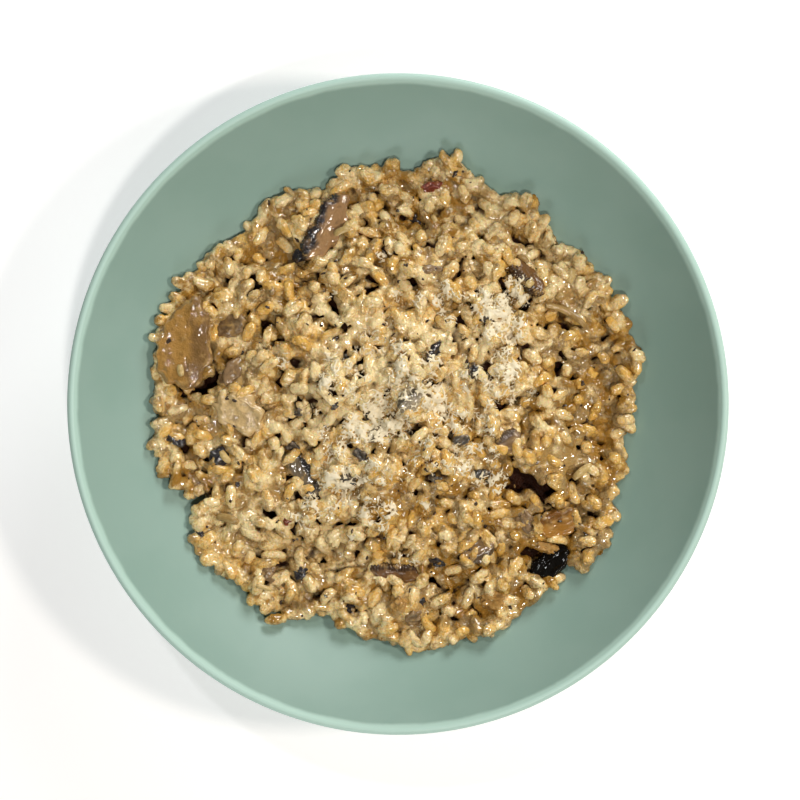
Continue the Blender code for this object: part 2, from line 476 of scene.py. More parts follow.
class NodeSheet:
    """A short way to place and join the nodes of one tree."""

    def __init__(self, tree: NodeTree) -> None:
        """Takes the tree to work on."""
        self.tree = tree

    def node(self, kind: str, sockets: dict | None = None, **settings: object) -> Node:
        """Places a node.

        Args:
            kind: the node's type.
            sockets: for each input by name or number, a value or the output that feeds it.
            settings: the node's own settings.

        Returns:
            The node.
        """
        made = self.tree.nodes.new(kind)
        for name, value in settings.items():
            setattr(made, name, value)
        for name, value in (sockets or {}).items():
            self.feed(made.inputs[name], value)
        return made

    def feed(self, socket: NodeSocket, value: object) -> None:
        """Gives an input a value, or joins it to the output that feeds it."""
        if isinstance(value, NodeSocket):
            self.tree.links.new(value, socket)
        elif isinstance(value, tuple) and len(value) == 3 and socket.type == "RGBA":
            socket.default_value = (*value, 1)
        else:
            socket.default_value = value

    def dress(self, sockets: dict) -> None:
        """Gives the material's shader its values, and joins it to the outputs that feed it."""
        shader = self.tree.nodes["Principled BSDF"]
        for name, value in sockets.items():
            self.feed(shader.inputs[name], value)

    def mix(self, share: object, first: object, second: object) -> NodeSocket:
        """Returns the first colour turned into the second by share."""
        made = self.node("ShaderNodeMix", data_type="RGBA")
        self.feed(made.inputs[0], share)
        self.feed(made.inputs[6], first)
        self.feed(made.inputs[7], second)
        return made.outputs[2]

    def value(self, name: str) -> NodeSocket:
        """Returns a number that is stored at the mesh's points."""
        return self.node("ShaderNodeAttribute", attribute_name=name).outputs["Fac"]

    def spread(self, value: object, low: float, high: float) -> NodeSocket:
        """Returns a value stretched from low and high to 0 and 1, eased at both ends."""
        sockets = {"Value": value, "From Min": low, "From Max": high}
        made = self.node("ShaderNodeMapRange", sockets, interpolation_type="SMOOTHSTEP")
        return made.outputs["Result"]

    def sum(self, first: object, second: object, share: float) -> NodeSocket:
        """Returns the first value plus a share of the second."""
        made = self.node("ShaderNodeMath", {0: second, 1: share, 2: first}, operation="MULTIPLY_ADD")
        return made.outputs[0]

    def product(self, first: object, second: object) -> NodeSocket:
        """Returns the product of two values."""
        return self.node("ShaderNodeMath", {0: first, 1: second}, operation="MULTIPLY").outputs[0]

    def mottle(self, size: float, low: float, high: float, detail: float = 3) -> NodeSocket:
        """Returns a cloudy mask, 0 where the noise is low and 1 where it is high."""
        sockets = {"Size": size, "Low": low, "High": high, "Detail": detail}
        return self.node("ShaderNodeGroup", sockets, node_tree=mottle_group()).outputs["Mask"]

    def wet_relief(self, coarse: float, fine: float, depth: float) -> NodeSocket:
        """Returns a normal with small soft bumps of two sizes and one depth, in metres."""
        sockets = {"Coarse": coarse, "Fine": fine, "Depth": depth}
        return self.node("ShaderNodeGroup", sockets, node_tree=relief_group()).outputs["Normal"]


def new_group(name: str, inputs: dict[str, float], output: str, kind: str) -> NodeSheet:
    """Starts a shader group.

    Args:
        name: the group's name.
        inputs: its number inputs and their usual values.
        output: the name of its output.
        kind: the output's socket type.

    Returns:
        A sheet of the group's tree, which holds its input and output nodes.
    """
    tree = bpy.data.node_groups.new(name, "ShaderNodeTree")
    for socket, value in inputs.items():
        made = tree.interface.new_socket(socket, in_out="INPUT", socket_type="NodeSocketFloat")
        made.default_value = value
    tree.interface.new_socket(output, in_out="OUTPUT", socket_type=kind)
    return NodeSheet(tree)


def scaled_noise(sheet: NodeSheet, size: object, detail: object) -> NodeSocket:
    """Returns noise on Object coordinates, with clouds of this size in metres."""
    place = sheet.node("ShaderNodeTexCoord").outputs["Object"]
    scale = sheet.node("ShaderNodeMath", {0: 1.0, 1: size}, operation="DIVIDE").outputs[0]
    made = sheet.node("ShaderNodeTexNoise", {"Vector": place, "Scale": scale, "Detail": detail})
    return made.outputs["Fac"]


@cache
def mottle_group() -> NodeTree:
    """Returns the group that makes cloudy masks, built once."""
    inputs = {"Size": 1.0, "Low": 0.4, "High": 0.6, "Detail": 3.0}
    sheet = new_group("mottle", inputs, "Mask", "NodeSocketFloat")
    given = sheet.node("NodeGroupInput").outputs
    cloud = scaled_noise(sheet, given["Size"], given["Detail"])
    sockets = {"Value": cloud, "From Min": given["Low"], "From Max": given["High"]}
    mask = sheet.node("ShaderNodeMapRange", sockets, interpolation_type="SMOOTHSTEP")
    sheet.node("NodeGroupOutput", {"Mask": mask.outputs["Result"]})
    return sheet.tree


@cache
def relief_group() -> NodeTree:
    """Returns the group that makes small soft bumps, built once."""
    inputs = {"Coarse": 1 * MM, "Fine": 0.4 * MM, "Depth": 0.2 * MM}
    sheet = new_group("wet_relief", inputs, "Normal", "NodeSocketVector")
    given = sheet.node("NodeGroupInput").outputs
    coarse = scaled_noise(sheet, given["Coarse"], 2.0)
    fine = scaled_noise(sheet, given["Fine"], 1.0)
    height = sheet.sum(coarse, fine, FINE_SHARE)
    sockets = {"Height": height, "Distance": given["Depth"], "Strength": 1.0}
    bump = sheet.node("ShaderNodeBump", sockets)
    sheet.node("NodeGroupOutput", {"Normal": bump.outputs["Normal"]})
    return sheet.tree


def new_material(name: str) -> tuple[Material, NodeSheet]:
    """Returns a new material and a sheet of its tree."""
    material = bpy.data.materials.new(name)
    material.use_nodes = True
    return material, NodeSheet(material.node_tree)


@dataclass(frozen=True)
class GlazeFinish:
    """Satin sage green glaze that breaks paler over the lip."""

    body: Colour = (0.272, 0.405, 0.350)
    cloud: Colour = (0.252, 0.385, 0.330)
    edge: Colour = (0.45, 0.64, 0.56)
    cloud_size: float = 28 * MM
    unevenness: float = 0.35 * MM
    roughness: float = 0.55
    coat: float = 0.1
    coat_roughness: float = 0.3
    bump: float = 0.03 * MM

    def build(self, shape: "BowlShape") -> Material:
        """Makes the material.

        Args:
            shape: the bowl that wears it.

        Returns:
            The material.
        """
        material, sheet = new_material("sage_glaze")
        colour = sheet.mix(sheet.mottle(self.cloud_size, 0.35, 0.65), self.body, self.cloud)
        place = sheet.node("ShaderNodeTexCoord").outputs["Object"]
        height = sheet.node("ShaderNodeSeparateXYZ", {0: place}).outputs["Z"]
        uneven = sheet.sum(height, sheet.mottle(9 * MM, 0.3, 0.7), self.unevenness)
        low, high = (shape.height - radii * shape.lip_radius for radii in LIP_BREAK)
        sheet.dress(
            {
                "Base Color": sheet.mix(sheet.spread(uneven, low, high), colour, self.edge),
                "Roughness": self.roughness,
                "Coat Weight": self.coat,
                "Coat Roughness": self.coat_roughness,
                "Normal": sheet.wet_relief(6 * MM, 2 * MM, self.bump),
            }
        )
        return material


@dataclass(frozen=True)
class RiceFinish:
    """Moist rice in cream sauce. Grains differ in shade, and gaps are painted dark brown as shade, more so
    the deeper they are.

    It reads four numbers at the mesh's points: tint, each grain's own shade, lowered as painted shade
    where the bed's skin faces sideways; sauce, 0 on a grain and 1 between grains, raised partly as
    painted shade on the bed's sides and creases and under loose grains; cream, 1 where the sauce is
    thick; and depth, 0 at the heap's surface and 1 deep in a gap, which sets the gaps' painted shade.
    """

    name: str = "creamy_rice"
    pale: Colour = (1.0, 0.785, 0.41)
    warm: Colour = (0.84, 0.485, 0.100)
    sauce: Colour = (0.375, 0.185, 0.020)
    grey_sauce: Colour = (0.37, 0.235, 0.085)
    thick_cream: Colour = (0.56, 0.37, 0.140)
    # painted shade: the near-black brown that the deepest gaps turn to
    gap: Colour = (0.028, 0.006, 0.0003)
    roughness: float = 0.5
    specular: float = 0.2
    coat_roughness: float = 0.07
    glow: float = 0.2
    glow_reach: Colour = (1.0, 0.45, 0.15)
    glow_scale: float = 0.7 * MM

    def build(self) -> Material:
        """Returns the material."""
        material, sheet = new_material(self.name)
        shade = sheet.sum(sheet.value("tint"), sheet.mottle(2.4 * MM, 0.35, 0.65), 0.6)
        shade = sheet.sum(shade, sheet.mottle(0.7 * MM, 0.35, 0.65, 2), 0.7)
        shade = sheet.sum(shade, sheet.mottle(9 * MM, 0.40, 0.60), 0.8)
        grain = sheet.mix(sheet.spread(shade, 0.5, 2.4), self.warm, self.pale)
        cream = sheet.mix(sheet.mottle(7 * MM, 0.46, 0.56), self.sauce, self.grey_sauce)
        cream = sheet.mix(sheet.product(sheet.value("cream"), 0.8), cream, self.thick_cream)
        film = sheet.sum(sheet.value("sauce"), sheet.mottle(5 * MM, 0.48, 0.64), 0.55)
        film = sheet.sum(film, sheet.mottle(1.3 * MM, 0.40, 0.70), 0.35)
        coated = sheet.mix(sheet.spread(film, 0.15, 1.15), grain, cream)
        # painted shade: the colour turns towards the gap colour with depth below the heap's surface
        deep = sheet.mix(sheet.spread(sheet.value("depth"), 0.02, 0.72), coated, self.gap)
        sheet.dress(
            {
                "Base Color": deep,
                "Roughness": self.roughness,
                "Specular IOR Level": self.specular,
                "Subsurface Weight": self.glow,
                "Subsurface Radius": self.glow_reach,
                "Subsurface Scale": self.glow_scale,
                "Coat Weight": sheet.spread(sheet.value("depth"), 0.22, 0.0),
                "Coat Roughness": self.coat_roughness,
                "Coat IOR": WET,
                "Normal": sheet.wet_relief(1.0 * MM, 0.35 * MM, 0.9 * MM),
                "Coat Normal": sheet.wet_relief(3.0 * MM, 1.2 * MM, 0.2 * MM),
            }
        )
        return material


@dataclass(frozen=True)
class MushroomFinish:
    """Cooked mushroom, wet and wrinkled.

    It reads two numbers at the mesh's points: part, which is 0 on gills, 0.5 on flesh and 1 on skin,
    and rim, which is 0 in the middle and 1 at the outline, where the cream clings.
    """

    name: str
    gill: Colour
    flesh: Colour
    skin: Colour
    film: Colour = (0.46, 0.28, 0.095)
    film_low: float = 0.55
    film_high: float = 1.15
    roughness: float = 0.42
    specular: float = 0.15
    coat: float = 0.7
    coat_roughness: float = 0.05
    bump: float = 0.5 * MM
    darkest: float = 0.45

    def build(self) -> Material:
        """Returns the material."""
        material, sheet = new_material(self.name)
        part = sheet.value("part")
        lower = sheet.mix(sheet.spread(part, 0.0, 0.5), self.gill, self.flesh)
        colour = sheet.mix(sheet.spread(part, 0.5, 1.0), lower, self.skin)
        dark = tuple(channel * self.darkest for channel in self.flesh)
        colour = sheet.mix(sheet.product(sheet.mottle(2.6 * MM, 0.5, 0.72, 5), 0.7), colour, dark)
        clinging = sheet.spread(sheet.value("rim"), 0.6, 1.0)
        cloud = sheet.sum(sheet.mottle(3 * MM, 0.2, 0.8, 5), clinging, 0.25)
        film = sheet.spread(cloud, self.film_low, self.film_high)
        sheet.dress(
            {
                "Base Color": sheet.mix(film, colour, self.film),
                "Roughness": self.roughness,
                "Specular IOR Level": self.specular,
                "Coat Weight": self.coat,
                "Coat Roughness": self.coat_roughness,
                "Coat IOR": WET,
                "Normal": sheet.wet_relief(1.6 * MM, 0.5 * MM, 0.5 * self.bump),
                "Coat Normal": sheet.wet_relief(1.6 * MM, 0.7 * MM, 0.3 * self.bump),
            }
        )
        return material


@dataclass(frozen=True)
class MoistFinish:
    """A small moist thing of two shades, such as cheese, onion or a fleck of skin."""

    name: str
    light: Colour
    dark: Colour
    roughness: float
    coat: float
    cloud_size: float = 1.5 * MM
    bump: float = 0.1 * MM

    def build(self) -> Material:
        """Returns the material."""
        material, sheet = new_material(self.name)
        shade = sheet.sum(sheet.value("tint"), sheet.mottle(self.cloud_size, 0.35, 0.65), 0.4)
        sheet.dress(
            {
                "Base Color": sheet.mix(sheet.spread(shade, 0.1, 1.2), self.dark, self.light),
                "Roughness": self.roughness,
                "Coat Weight": self.coat,
                "Normal": sheet.wet_relief(0.9 * MM, 0.35 * MM, self.bump),
            }
        )
        return material


# Bowl


@dataclass(frozen=True)
class BowlShape:
    """The bowl's turned profile.

    Attributes:
        radius: of its outer edge.
        height: of its lip above the table.
        lip_slope: steepness of the wall where the rounded lip takes over.
    """

    radius: float
    height: float
    lip_radius: float = 1.5 * MM
    lip_slope: float = math.radians(53)
    floor_radius: float = 50 * MM
    floor_height: float = 8.5 * MM
    base_thickness: float = 5 * MM
    foot_radius: float = 56 * MM
    foot_width: float = 4.5 * MM
    foot_chamfer: float = 0.8 * MM
    segments: int = 224
    wall_steps: int = 40
    lip_steps: int = 16

    @property
    def wall_run(self) -> float:
        """How far the inner wall reaches out from the floor."""
        return self.radius - self.lip_radius * (1 + math.sin(self.lip_slope)) - self.floor_radius

    @property
    def wall_rise(self) -> float:
        """How far the inner wall rises from the floor."""
        return self.height - self.lip_radius * (1 - math.cos(self.lip_slope)) - self.floor_height

    @property
    def wall_power(self) -> float:
        """The power of the wall's curve, which makes it meet the lip at the lip's slope."""
        return math.tan(self.lip_slope) * self.wall_run / self.wall_rise

    def inside_height(self, radius: np.ndarray | float) -> np.ndarray | float:
        """Height of the inner surface at one radius or many."""
        share = np.maximum(0, (radius - self.floor_radius) / self.wall_run)
        return self.floor_height + self.wall_rise * share**self.wall_power

    def inside_slope(self, radius: float) -> float:
        """Angle of the inner surface from level at a radius."""
        share = max(0.0, (radius - self.floor_radius) / self.wall_run)
        rise = self.wall_rise / self.wall_run * self.wall_power
        return math.atan(rise * share ** (self.wall_power - 1))

    def wall_radii(self) -> list[float]:
        """Radii of the wall's stations, from the floor to the lip."""
        steps = range(self.wall_steps + 1)
        return [self.floor_radius + self.wall_run * step / self.wall_steps for step in steps]

    def lip_points(self) -> Iterator[tuple[float, float]]:
        """The lip's half circle, from the inner wall over the top to the outer wall."""
        first = self.lip_slope + math.pi / 2
        for step in range(1, self.lip_steps):
            angle = first - math.pi * step / self.lip_steps
            yield (
                self.radius - self.lip_radius * (1 - math.cos(angle)),
                self.height - self.lip_radius * (1 - math.sin(angle)),
            )

    def outside_points(self) -> Iterator[tuple[float, float]]:
        """The outer wall from the lip to the foot, offset from the inner wall by its thickness."""
        for radius in reversed(self.wall_radii()):
            share = (radius - self.floor_radius) / self.wall_run
            thickness = self.base_thickness + share * (2 * self.lip_radius - self.base_thickness)
            slope = self.inside_slope(radius)
            outer = radius + thickness * math.sin(slope)
            if outer > self.foot_radius + self.foot_chamfer:
                yield outer, float(self.inside_height(radius)) - thickness * math.cos(slope)

    def foot_points(self) -> Iterator[tuple[float, float]]:
        """The foot ring and the underside, from the outer wall to the axis."""
        under = self.floor_height - self.base_thickness
        inner = self.foot_radius - self.foot_width
        fillet = self.foot_chamfer
        yield self.foot_radius + 0.4 * fillet, under - 0.1 * fillet
        yield self.foot_radius, under - 0.6 * fillet
        yield self.foot_radius, fillet
        yield self.foot_radius - 0.3 * fillet, 0.3 * fillet
        yield self.foot_radius - fillet, 0
        yield inner + fillet, 0
        yield inner + 0.3 * fillet, 0.3 * fillet
        yield inner, fillet
        yield inner, under - 0.6 * fillet
        yield inner - 0.3 * fillet, under - 0.2 * fillet
        yield inner - fillet, under
        yield 0.5 * inner, under
        yield 0, under

    def profile(self) -> list[tuple[float, float]]:
        """The whole closed profile, from the middle of the inside to the middle of the underside."""
        points = [(0.0, self.floor_height), (0.5 * self.floor_radius, self.floor_height)]
        points += [(radius, float(self.inside_height(radius))) for radius in self.wall_radii()]
        return points + [*self.lip_points(), *self.outside_points(), *self.foot_points()]


@dataclass
class Bowl:
    """The bowl, turned in one piece.

    Attributes:
        shape: its profile.
        finish: its glaze.
    """

    shape: BowlShape
    finish: GlazeFinish = GlazeFinish()

    def build(self) -> Object:
        """Returns the bowl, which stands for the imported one."""
        mesh = mesh_of(turned(self.shape.profile(), self.shape.segments), "bowl_turned")
        return add_piece("bowl_turned", mesh, self.finish.build(self.shape), "glaze", "bowl")


# Heap


class Spot(NamedTuple):
    """A round place on the heap, in millimetres."""

    x: float
    y: float
    radius: float

    def away(self, x: float, y: float) -> float:
        """How far a point in metres is from the middle, where 1 is the spot's edge."""
        return math.hypot(x - self.x * MM, y - self.y * MM) / (self.radius * MM)


def listed(kind: type, *rows: tuple[float, ...]) -> tuple:
    """Returns one thing of a kind for each row of its numbers."""
    return tuple(kind(*row) for row in rows)


# Gaps between the grains, where the core sinks; the rice's finish paints them dark as shade.
GAPS = listed(
    Spot,
    (-51.3, 45.9, 2.4), (-51.7, 41.3, 1.9), (5.0, 42.8, 1.9), (-23.1, 34.5, 2.2), (-9.3, 40.0, 1.4),
    (38.5, 42.1, 1.6), (20.7, 44.9, 1.0), (-29.9, 46.3, 1.7), (5.7, -10.5, 1.8), (42.4, -25.9, 3.2),
    (47.7, -28.8, 3.2), (53.2, -31.3, 3.4), (64.5, -15.2, 1.3), (58.8, 18.4, 1.7), (58.1, 13.4, 1.6),
    (74.2, 23.9, 1.5), (62.4, 9.6, 1.7), (45.6, 58.1, 1.7), (-45.3, -38.8, 1.5), (-48.2, -38.6, 1.2),
    (-27.3, -57.7, 1.3), (13.4, -63.1, 1.3), (-67.9, -32.4, 1.5), (-66.5, 8.0, 2.3), (-71.0, 5.0, 1.8),
    (-77.5, 4.0, 1.6), (51.0, -54.5, 3.0), (56.0, -58.0, 4.0), (61.5, -59.5, 3.4),
)
GAP_REACH = 1.3  # how wide the hollow of the core is under a gap, where 1 is the gap's width
# Places where sauce stands between the grains.
POOLS = listed(
    Spot,
    (-62.5, -50.0, 9.5), (-57.5, -36.5, 9.0), (-47.0, -27.0, 8.0), (-58.0, 0.0, 14.0), (-62.0, 28.0, 9.0),
    (57.0, -18.5, 8.0), (56.0, 41.0, 6.0), (4.0, -74.0, 6.0), (-30.0, 58.0, 6.0), (10.0, 47.0, 5.0),
)
# Places that are painted darker and browner. The largest, at the lower right, is painted shade on the
# heap's flank that faces away from the light.
DARKER_PATCHES = listed(
    Spot,
    (48.0, -32.0, 30.0), (66.0, 2.0, 20.0), (62.0, -24.0, 16.0), (2.0, -36.0, 14.0), (-34.0, 26.0, 8.0),
    (-66.0, 14.0, 10.0), (-12.0, 46.0, 9.0), (22.0, -56.0, 12.0), (-42.0, 43.0, 9.0),
)
# Places that are paler, coated with cream.
CREAMED = listed(
    Spot,
    (-14.0, 10.0, 20.0), (-16.0, 33.0, 12.0), (8.0, 16.0, 16.0), (33.0, 24.0, 13.0), (54.0, 57.0, 9.0),
    (63.0, 42.0, 8.0), (34.0, 72.0, 8.0), (-33.0, -50.0, 15.0), (-52.0, -40.0, 12.0), (-32.0, -7.0, 9.0),
)


def nearness(points: np.ndarray, spots: tuple[Spot, ...]) -> np.ndarray:
    """Says how near each point is to the middle of any spot.

    Args:
        points: one row each, in metres.
        spots: the spots.

    Returns:
        For each point, 1 in the middle of a spot and almost 0 well outside all of them.
    """
    near = np.zeros(len(points))
    for spot in spots:
        away = np.hypot(points[:, 0] - spot.x * MM, points[:, 1] - spot.y * MM) / (spot.radius * MM)
        near = np.maximum(near, np.exp(-(away**2)))
    return near


class Lump(NamedTuple):
    """One scale of the heap's unevenness.

    Attributes:
        height: of its lumps.
        size: how wide they are.
        shift: picks another part of the noise.
    """

    height: float
    size: float
    shift: float = 0.0

    def at(self, place: Vector) -> float:
        """Returns smooth noise from about -1 to 1 at a place."""
        return noise.noise(place / self.size + Vector((0, 0, self.shift)))


HEAP_SHARE = 0.985  # how far out sauce and broken bits lie, where 1 is the heap's farthest reach
LUMPS = (Lump(3.4 * MM, 10 * MM), Lump(2.6 * MM, 21 * MM, 11), Lump(1.3 * MM, 5.5 * MM, 7))
CREASES = Lump(2.6 * MM, 15 * MM, 3)
CREASE_WIDTH = 0.06  # noise that a crease between two lumps takes up


class HeapSurface:
    """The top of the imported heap, read once on a grid so that many points can be asked at a time.

    The lumps that the rice has clung together in are added to it.

    Attributes:
        pitch: of the grid.
        steepest: the steepest rise of the surface that a grain follows.
        thinnest: rice that is thinner than this counts as none.
        span: how far on both sides the slope is taken, half a grain.
    """

    pitch: float = 0.8 * MM
    steepest: float = 0.8
    thinnest: float = 1.5 * MM
    span: float = 2 * MM

    def __init__(self, node: Object, shape: BowlShape) -> None:
        """Reads the heap.

        Args:
            node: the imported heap.
            shape: the bowl that it lies in.
        """
        mesh = node.data
        polygons = [tuple(polygon.vertices) for polygon in mesh.polygons]
        self.tree = BVHTree.FromPolygons([vertex.co for vertex in mesh.vertices], polygons)
        self.shape = shape
        low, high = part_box(node.name)
        self.reach = max(abs(low.x), abs(low.y), high.x, high.y) + 2 * self.pitch
        side = np.arange(-self.reach, self.reach + self.pitch, self.pitch)
        self.grid = np.array([[self.cast(x, y) for x in side] for y in side])

    def cast(self, x: float, y: float) -> float:
        """Height of the heap's top at a point, or of the bowl where there is no rice."""
        hit = self.tree.ray_cast(Vector((x, y, ABOVE_ALL)), DOWN)[0]
        if not hit:
            return float(self.shape.inside_height(math.hypot(x, y)))
        return hit.z + self.lumps(x, y)

    @staticmethod
    def lumps(x: float, y: float) -> float:
        """How far the clumps of rice rise above the plain heap at a point, or their creases fall."""
        place = Vector((x, y, 0))
        rise = sum(lump.height * lump.at(place) for lump in LUMPS)
        return rise - CREASES.height * math.exp(-((CREASES.at(place) / CREASE_WIDTH) ** 2))

    def height(self, x: np.ndarray | float, y: np.ndarray | float) -> np.ndarray:
        """Height of the heap's top at one point or many, read between the grid's points."""
        last = len(self.grid) - 1.001
        column = np.clip((np.asarray(x) + self.reach) / self.pitch, 0, last)
        row = np.clip((np.asarray(y) + self.reach) / self.pitch, 0, last)
        i, j = row.astype(int), column.astype(int)
        down, right = row - i, column - j
        upper = self.grid[i, j] * (1 - right) + self.grid[i, j + 1] * right
        lower = self.grid[i + 1, j] * (1 - right) + self.grid[i + 1, j + 1] * right
        return upper * (1 - down) + lower * down

    def is_rice(self, x: float, y: float) -> bool:
        """Whether the heap covers the bowl at a point."""
        return float(self.height(x, y) - self.shape.inside_height(math.hypot(x, y))) > self.thinnest

    def edge(self, angle: float) -> float:
        """Radius of the heap's edge at an angle."""
        step = 0.5 * self.pitch
        radius = self.reach
        while radius > 0 and not self.is_rice(radius * math.cos(angle), radius * math.sin(angle)):
            radius -= step
        return radius

    def normal(self, x: float, y: float) -> Vector:
        """Upward normal of the heap's top at a point, taken over half a grain and never steep."""
        span = self.span
        rise_x = float(self.height(x + span, y) - self.height(x - span, y)) / (2 * span)
        rise_y = float(self.height(x, y + span) - self.height(x, y - span)) / (2 * span)
        rise = max(1.0, math.hypot(rise_x, rise_y) / self.steepest)
        return Vector((-rise_x / rise, -rise_y / rise, 1)).normalized()


GRAIN_AROUND, GRAIN_ALONG = 14, 10  # faces round a grain and from end to end
GRAIN_VARIANTS = 6
GRAIN_FLATNESS = 0.94  # a grain's height, where its width is 1
GRAIN_CORE = 0.36  # how far a grain's straight core reaches from its middle, as a share of its length


class GrainKind(Enum):
    """How a cooked grain came out."""

    PLUMP = "plump"
    BENT = "bent"
    SPLIT = "split"
    SHORT = "short"


@dataclass(frozen=True)
class GrainShape:
    """The shape of one kind of grain, on a box of side 1 with its long side along X.

    Attributes:
        fullness: how blunt its ends are, where 0.5 is an ellipsoid and less is blunter.
        bend: how far its ends hang.
        groove: depth of the split along its top.
        notch: how far its germ end is cut away.
        length: usual length.
        girth: usual thickness.
        dent: depth of the dents in its sides.
    """

    fullness: float
    bend: float
    groove: float
    notch: float
    length: float
    girth: float
    dent: float = 0.31

    def form(self, variant: int) -> Form:
        """Shapes a sphere into the grain.

        Args:
            variant: picks one of many ways to be dented.

        Returns:
            The grain's form.
        """
        made = bmesh.new()
        turn = Matrix.Rotation(math.pi / 2, 4, "Y")
        sphere = {"u_segments": GRAIN_AROUND, "v_segments": GRAIN_ALONG, "radius": 0.5, "matrix": turn}
        bmesh.ops.create_uvsphere(made, **sphere)
        for vertex in made.verts:
            x, y, z = vertex.co
            share = min(1.0, abs(2 * x))
            swell = (1 - share * share + 1e-9) ** (self.fullness - 0.5)
            dents = noise.noise(Vector((4 * x, 2.2 * y, 2.2 * z + 5.7 * variant)))
            dents += 0.6 * noise.noise(Vector((9 * x, 5 * y, 5 * z - 3.3 * variant)))
            swell *= 1 + self.dent * dents
            cut = self.notch * max(0.0, 2 * x - 0.45) * (y > 0)
            split = self.groove * max(0.0, z) * math.exp(-((y / 0.13) ** 2))
            z = z * swell - split - self.bend * (4 * x * x - 0.5)
            vertex.co = Vector((x, y * swell * (1 - 1.6 * cut), z))
        return Form.of(in_order(made))


GRAIN_SHAPES = {
    GrainKind.PLUMP: GrainShape(0.31, 0.03, 0.0, 0.15, 8.0 * MM, 4.0 * MM),
    GrainKind.BENT: GrainShape(0.34, 0.32, 0.0, 0.25, 8.6 * MM, 3.5 * MM),
    GrainKind.SPLIT: GrainShape(0.29, 0.10, 0.75, 0.10, 8.0 * MM, 4.3 * MM),
    GrainKind.SHORT: GrainShape(0.31, 0.05, 0.15, 0.45, 5.4 * MM, 3.9 * MM),
}
GRAIN_MIX = (GrainKind.PLUMP,) * 5 + (GrainKind.BENT,) * 3 + (GrainKind.SPLIT,) * 2 + (GrainKind.SHORT,) * 3


@cache
def grain_forms() -> dict[GrainKind, list[Form]]:
    """Returns the forms of each kind of grain, each dented in several ways."""
    variants = range(GRAIN_VARIANTS)
    return {kind: [shape.form(variant) for variant in variants] for kind, shape in GRAIN_SHAPES.items()}


@dataclass
class Grain:
    """One grain: where its middle is, which way it lies, and how big it is."""

    kind: GrainKind
    variant: int
    middle: Vector
    along: Vector
    up: Vector
    length: float
    girth: float
    tint: float

    def place(self, swell: float = 0.0) -> Matrix:
        """Returns the matrix that puts the grain's form in place, swollen all round by a little."""
        side = self.up.cross(self.along).normalized()
        top = self.along.cross(side)
        length, girth = self.length + swell, self.girth + swell
        turn = Matrix((self.along * length, side * girth, top * girth * GRAIN_FLATNESS)).transposed()
        return Matrix.Translation(self.middle) @ turn.to_4x4()

    def spots(self) -> list[Vector]:
        """Returns three points along the grain's middle line."""
        return [self.middle + self.along * (self.length * share) for share in (-0.28, 0.0, 0.28)]


class Crowd:
    """Remembers where grains lie, so that no two lie in the same place."""

    def __init__(self, spacing: float) -> None:
        """Takes the least distance between the middle lines of two grains."""
        self.spacing = spacing
        self.cells: dict[tuple[int, int, int], list[Vector]] = {}

    def cell(self, spot: Vector) -> tuple[int, int, int]:
        """Returns the cell that a point is in."""
        return tuple(int(math.floor(value / self.spacing)) for value in spot)

    def has_room(self, grain: Grain) -> bool:
        """Whether a grain keeps its distance from all that lie there."""
        steps = (-1, 0, 1)
        for spot in grain.spots():
            i, j, k = self.cell(spot)
            for near in ((i + a, j + b, k + c) for a in steps for b in steps for c in steps):
                for other in self.cells.get(near, ()):
                    if (other - spot).length < self.spacing:
                        return False
        return True

    def add(self, grain: Grain) -> None:
        """Notes where a grain lies."""
        for spot in grain.spots():
            self.cells.setdefault(self.cell(spot), []).append(spot)

    def admit(self, grain: Grain, surface: HeapSurface) -> bool:
        """Notes a grain that lies on the heap and has room there, and says whether it does."""
        fits = is_on_heap(grain, surface) and self.has_room(grain)
        if fits:
            self.add(grain)
        return fits


def in_gap(x: float, y: float, margin: float = 0.0) -> bool:
    """Whether a point is in a gap between grains, or nearer to one than a margin."""
    return any(gap.away(x, y) < 1 + margin / (gap.radius * MM) for gap in GAPS)


def is_on_heap(grain: Grain, surface: HeapSurface) -> bool:
    """Whether the grain lies over rice all along, and over no gap."""
    return all(surface.is_rice(spot.x, spot.y) and not in_gap(spot.x, spot.y) for spot in grain.spots())


@dataclass
class GrainLayer:
    """A layer of grains over the heap.

    Attributes:
        tries: how many places are tried.
        spacing: least distance between the middle lines of two grains.
        sink: how far below the heap's surface the deepest grain's middle is.
        rise: the same for the highest grain, negative where it is above the surface.
        tilt: largest angle from level along the surface.
    """

    tries: int
    spacing: float
    sink: float
    rise: float
    tilt: float

    def sow(self, surface: HeapSurface, dice: Random) -> list[Grain]:
        """Lays the grains.

        Args:
            surface: the heap's top.
            dice: the source of chance.

        Returns:
            The grains that found room.
        """
        crowd = Crowd(self.spacing)
        laid = []
        for _ in range(self.tries):
            x, y = anywhere(dice, surface.reach)
            z = float(surface.height(x, y)) - dice.uniform(self.rise, self.sink)
            grain = new_grain(dice, Vector((x, y, z)), surface.normal(x, y), self.tilt)
            if crowd.admit(grain, surface):
                laid.append(grain)
        return laid


def new_grain(dice: Random, middle: Vector, normal: Vector, tilt: float) -> Grain:
    """Makes a grain of a random kind that lies along a surface.

    Args:
        dice: the source of chance.
        middle: where its middle is.
        normal: the surface's normal there.
        tilt: largest angle from the surface.

    Returns:
        The grain.
    """
    kind = dice.choice(GRAIN_MIX)
    shape = GRAIN_SHAPES[kind]
    yaw = dice.uniform(0, math.tau)
    flat = toward(yaw)
    flat = (flat - normal * flat.dot(normal)).normalized()
    lean = dice.triangular(-tilt, tilt, 0)
    along = (flat * math.cos(lean) + normal * math.sin(lean)).normalized()
    side = normal.cross(along).normalized()
    up = Matrix.Rotation(dice.uniform(-0.9, 0.9), 3, along) @ along.cross(side)
    length = shape.length * dice.uniform(0.84, 1.1)
    girth = shape.girth * dice.uniform(0.86, 1.12)
    return Grain(kind, dice.randrange(GRAIN_VARIANTS), middle, along, up, length, girth, dice.random())


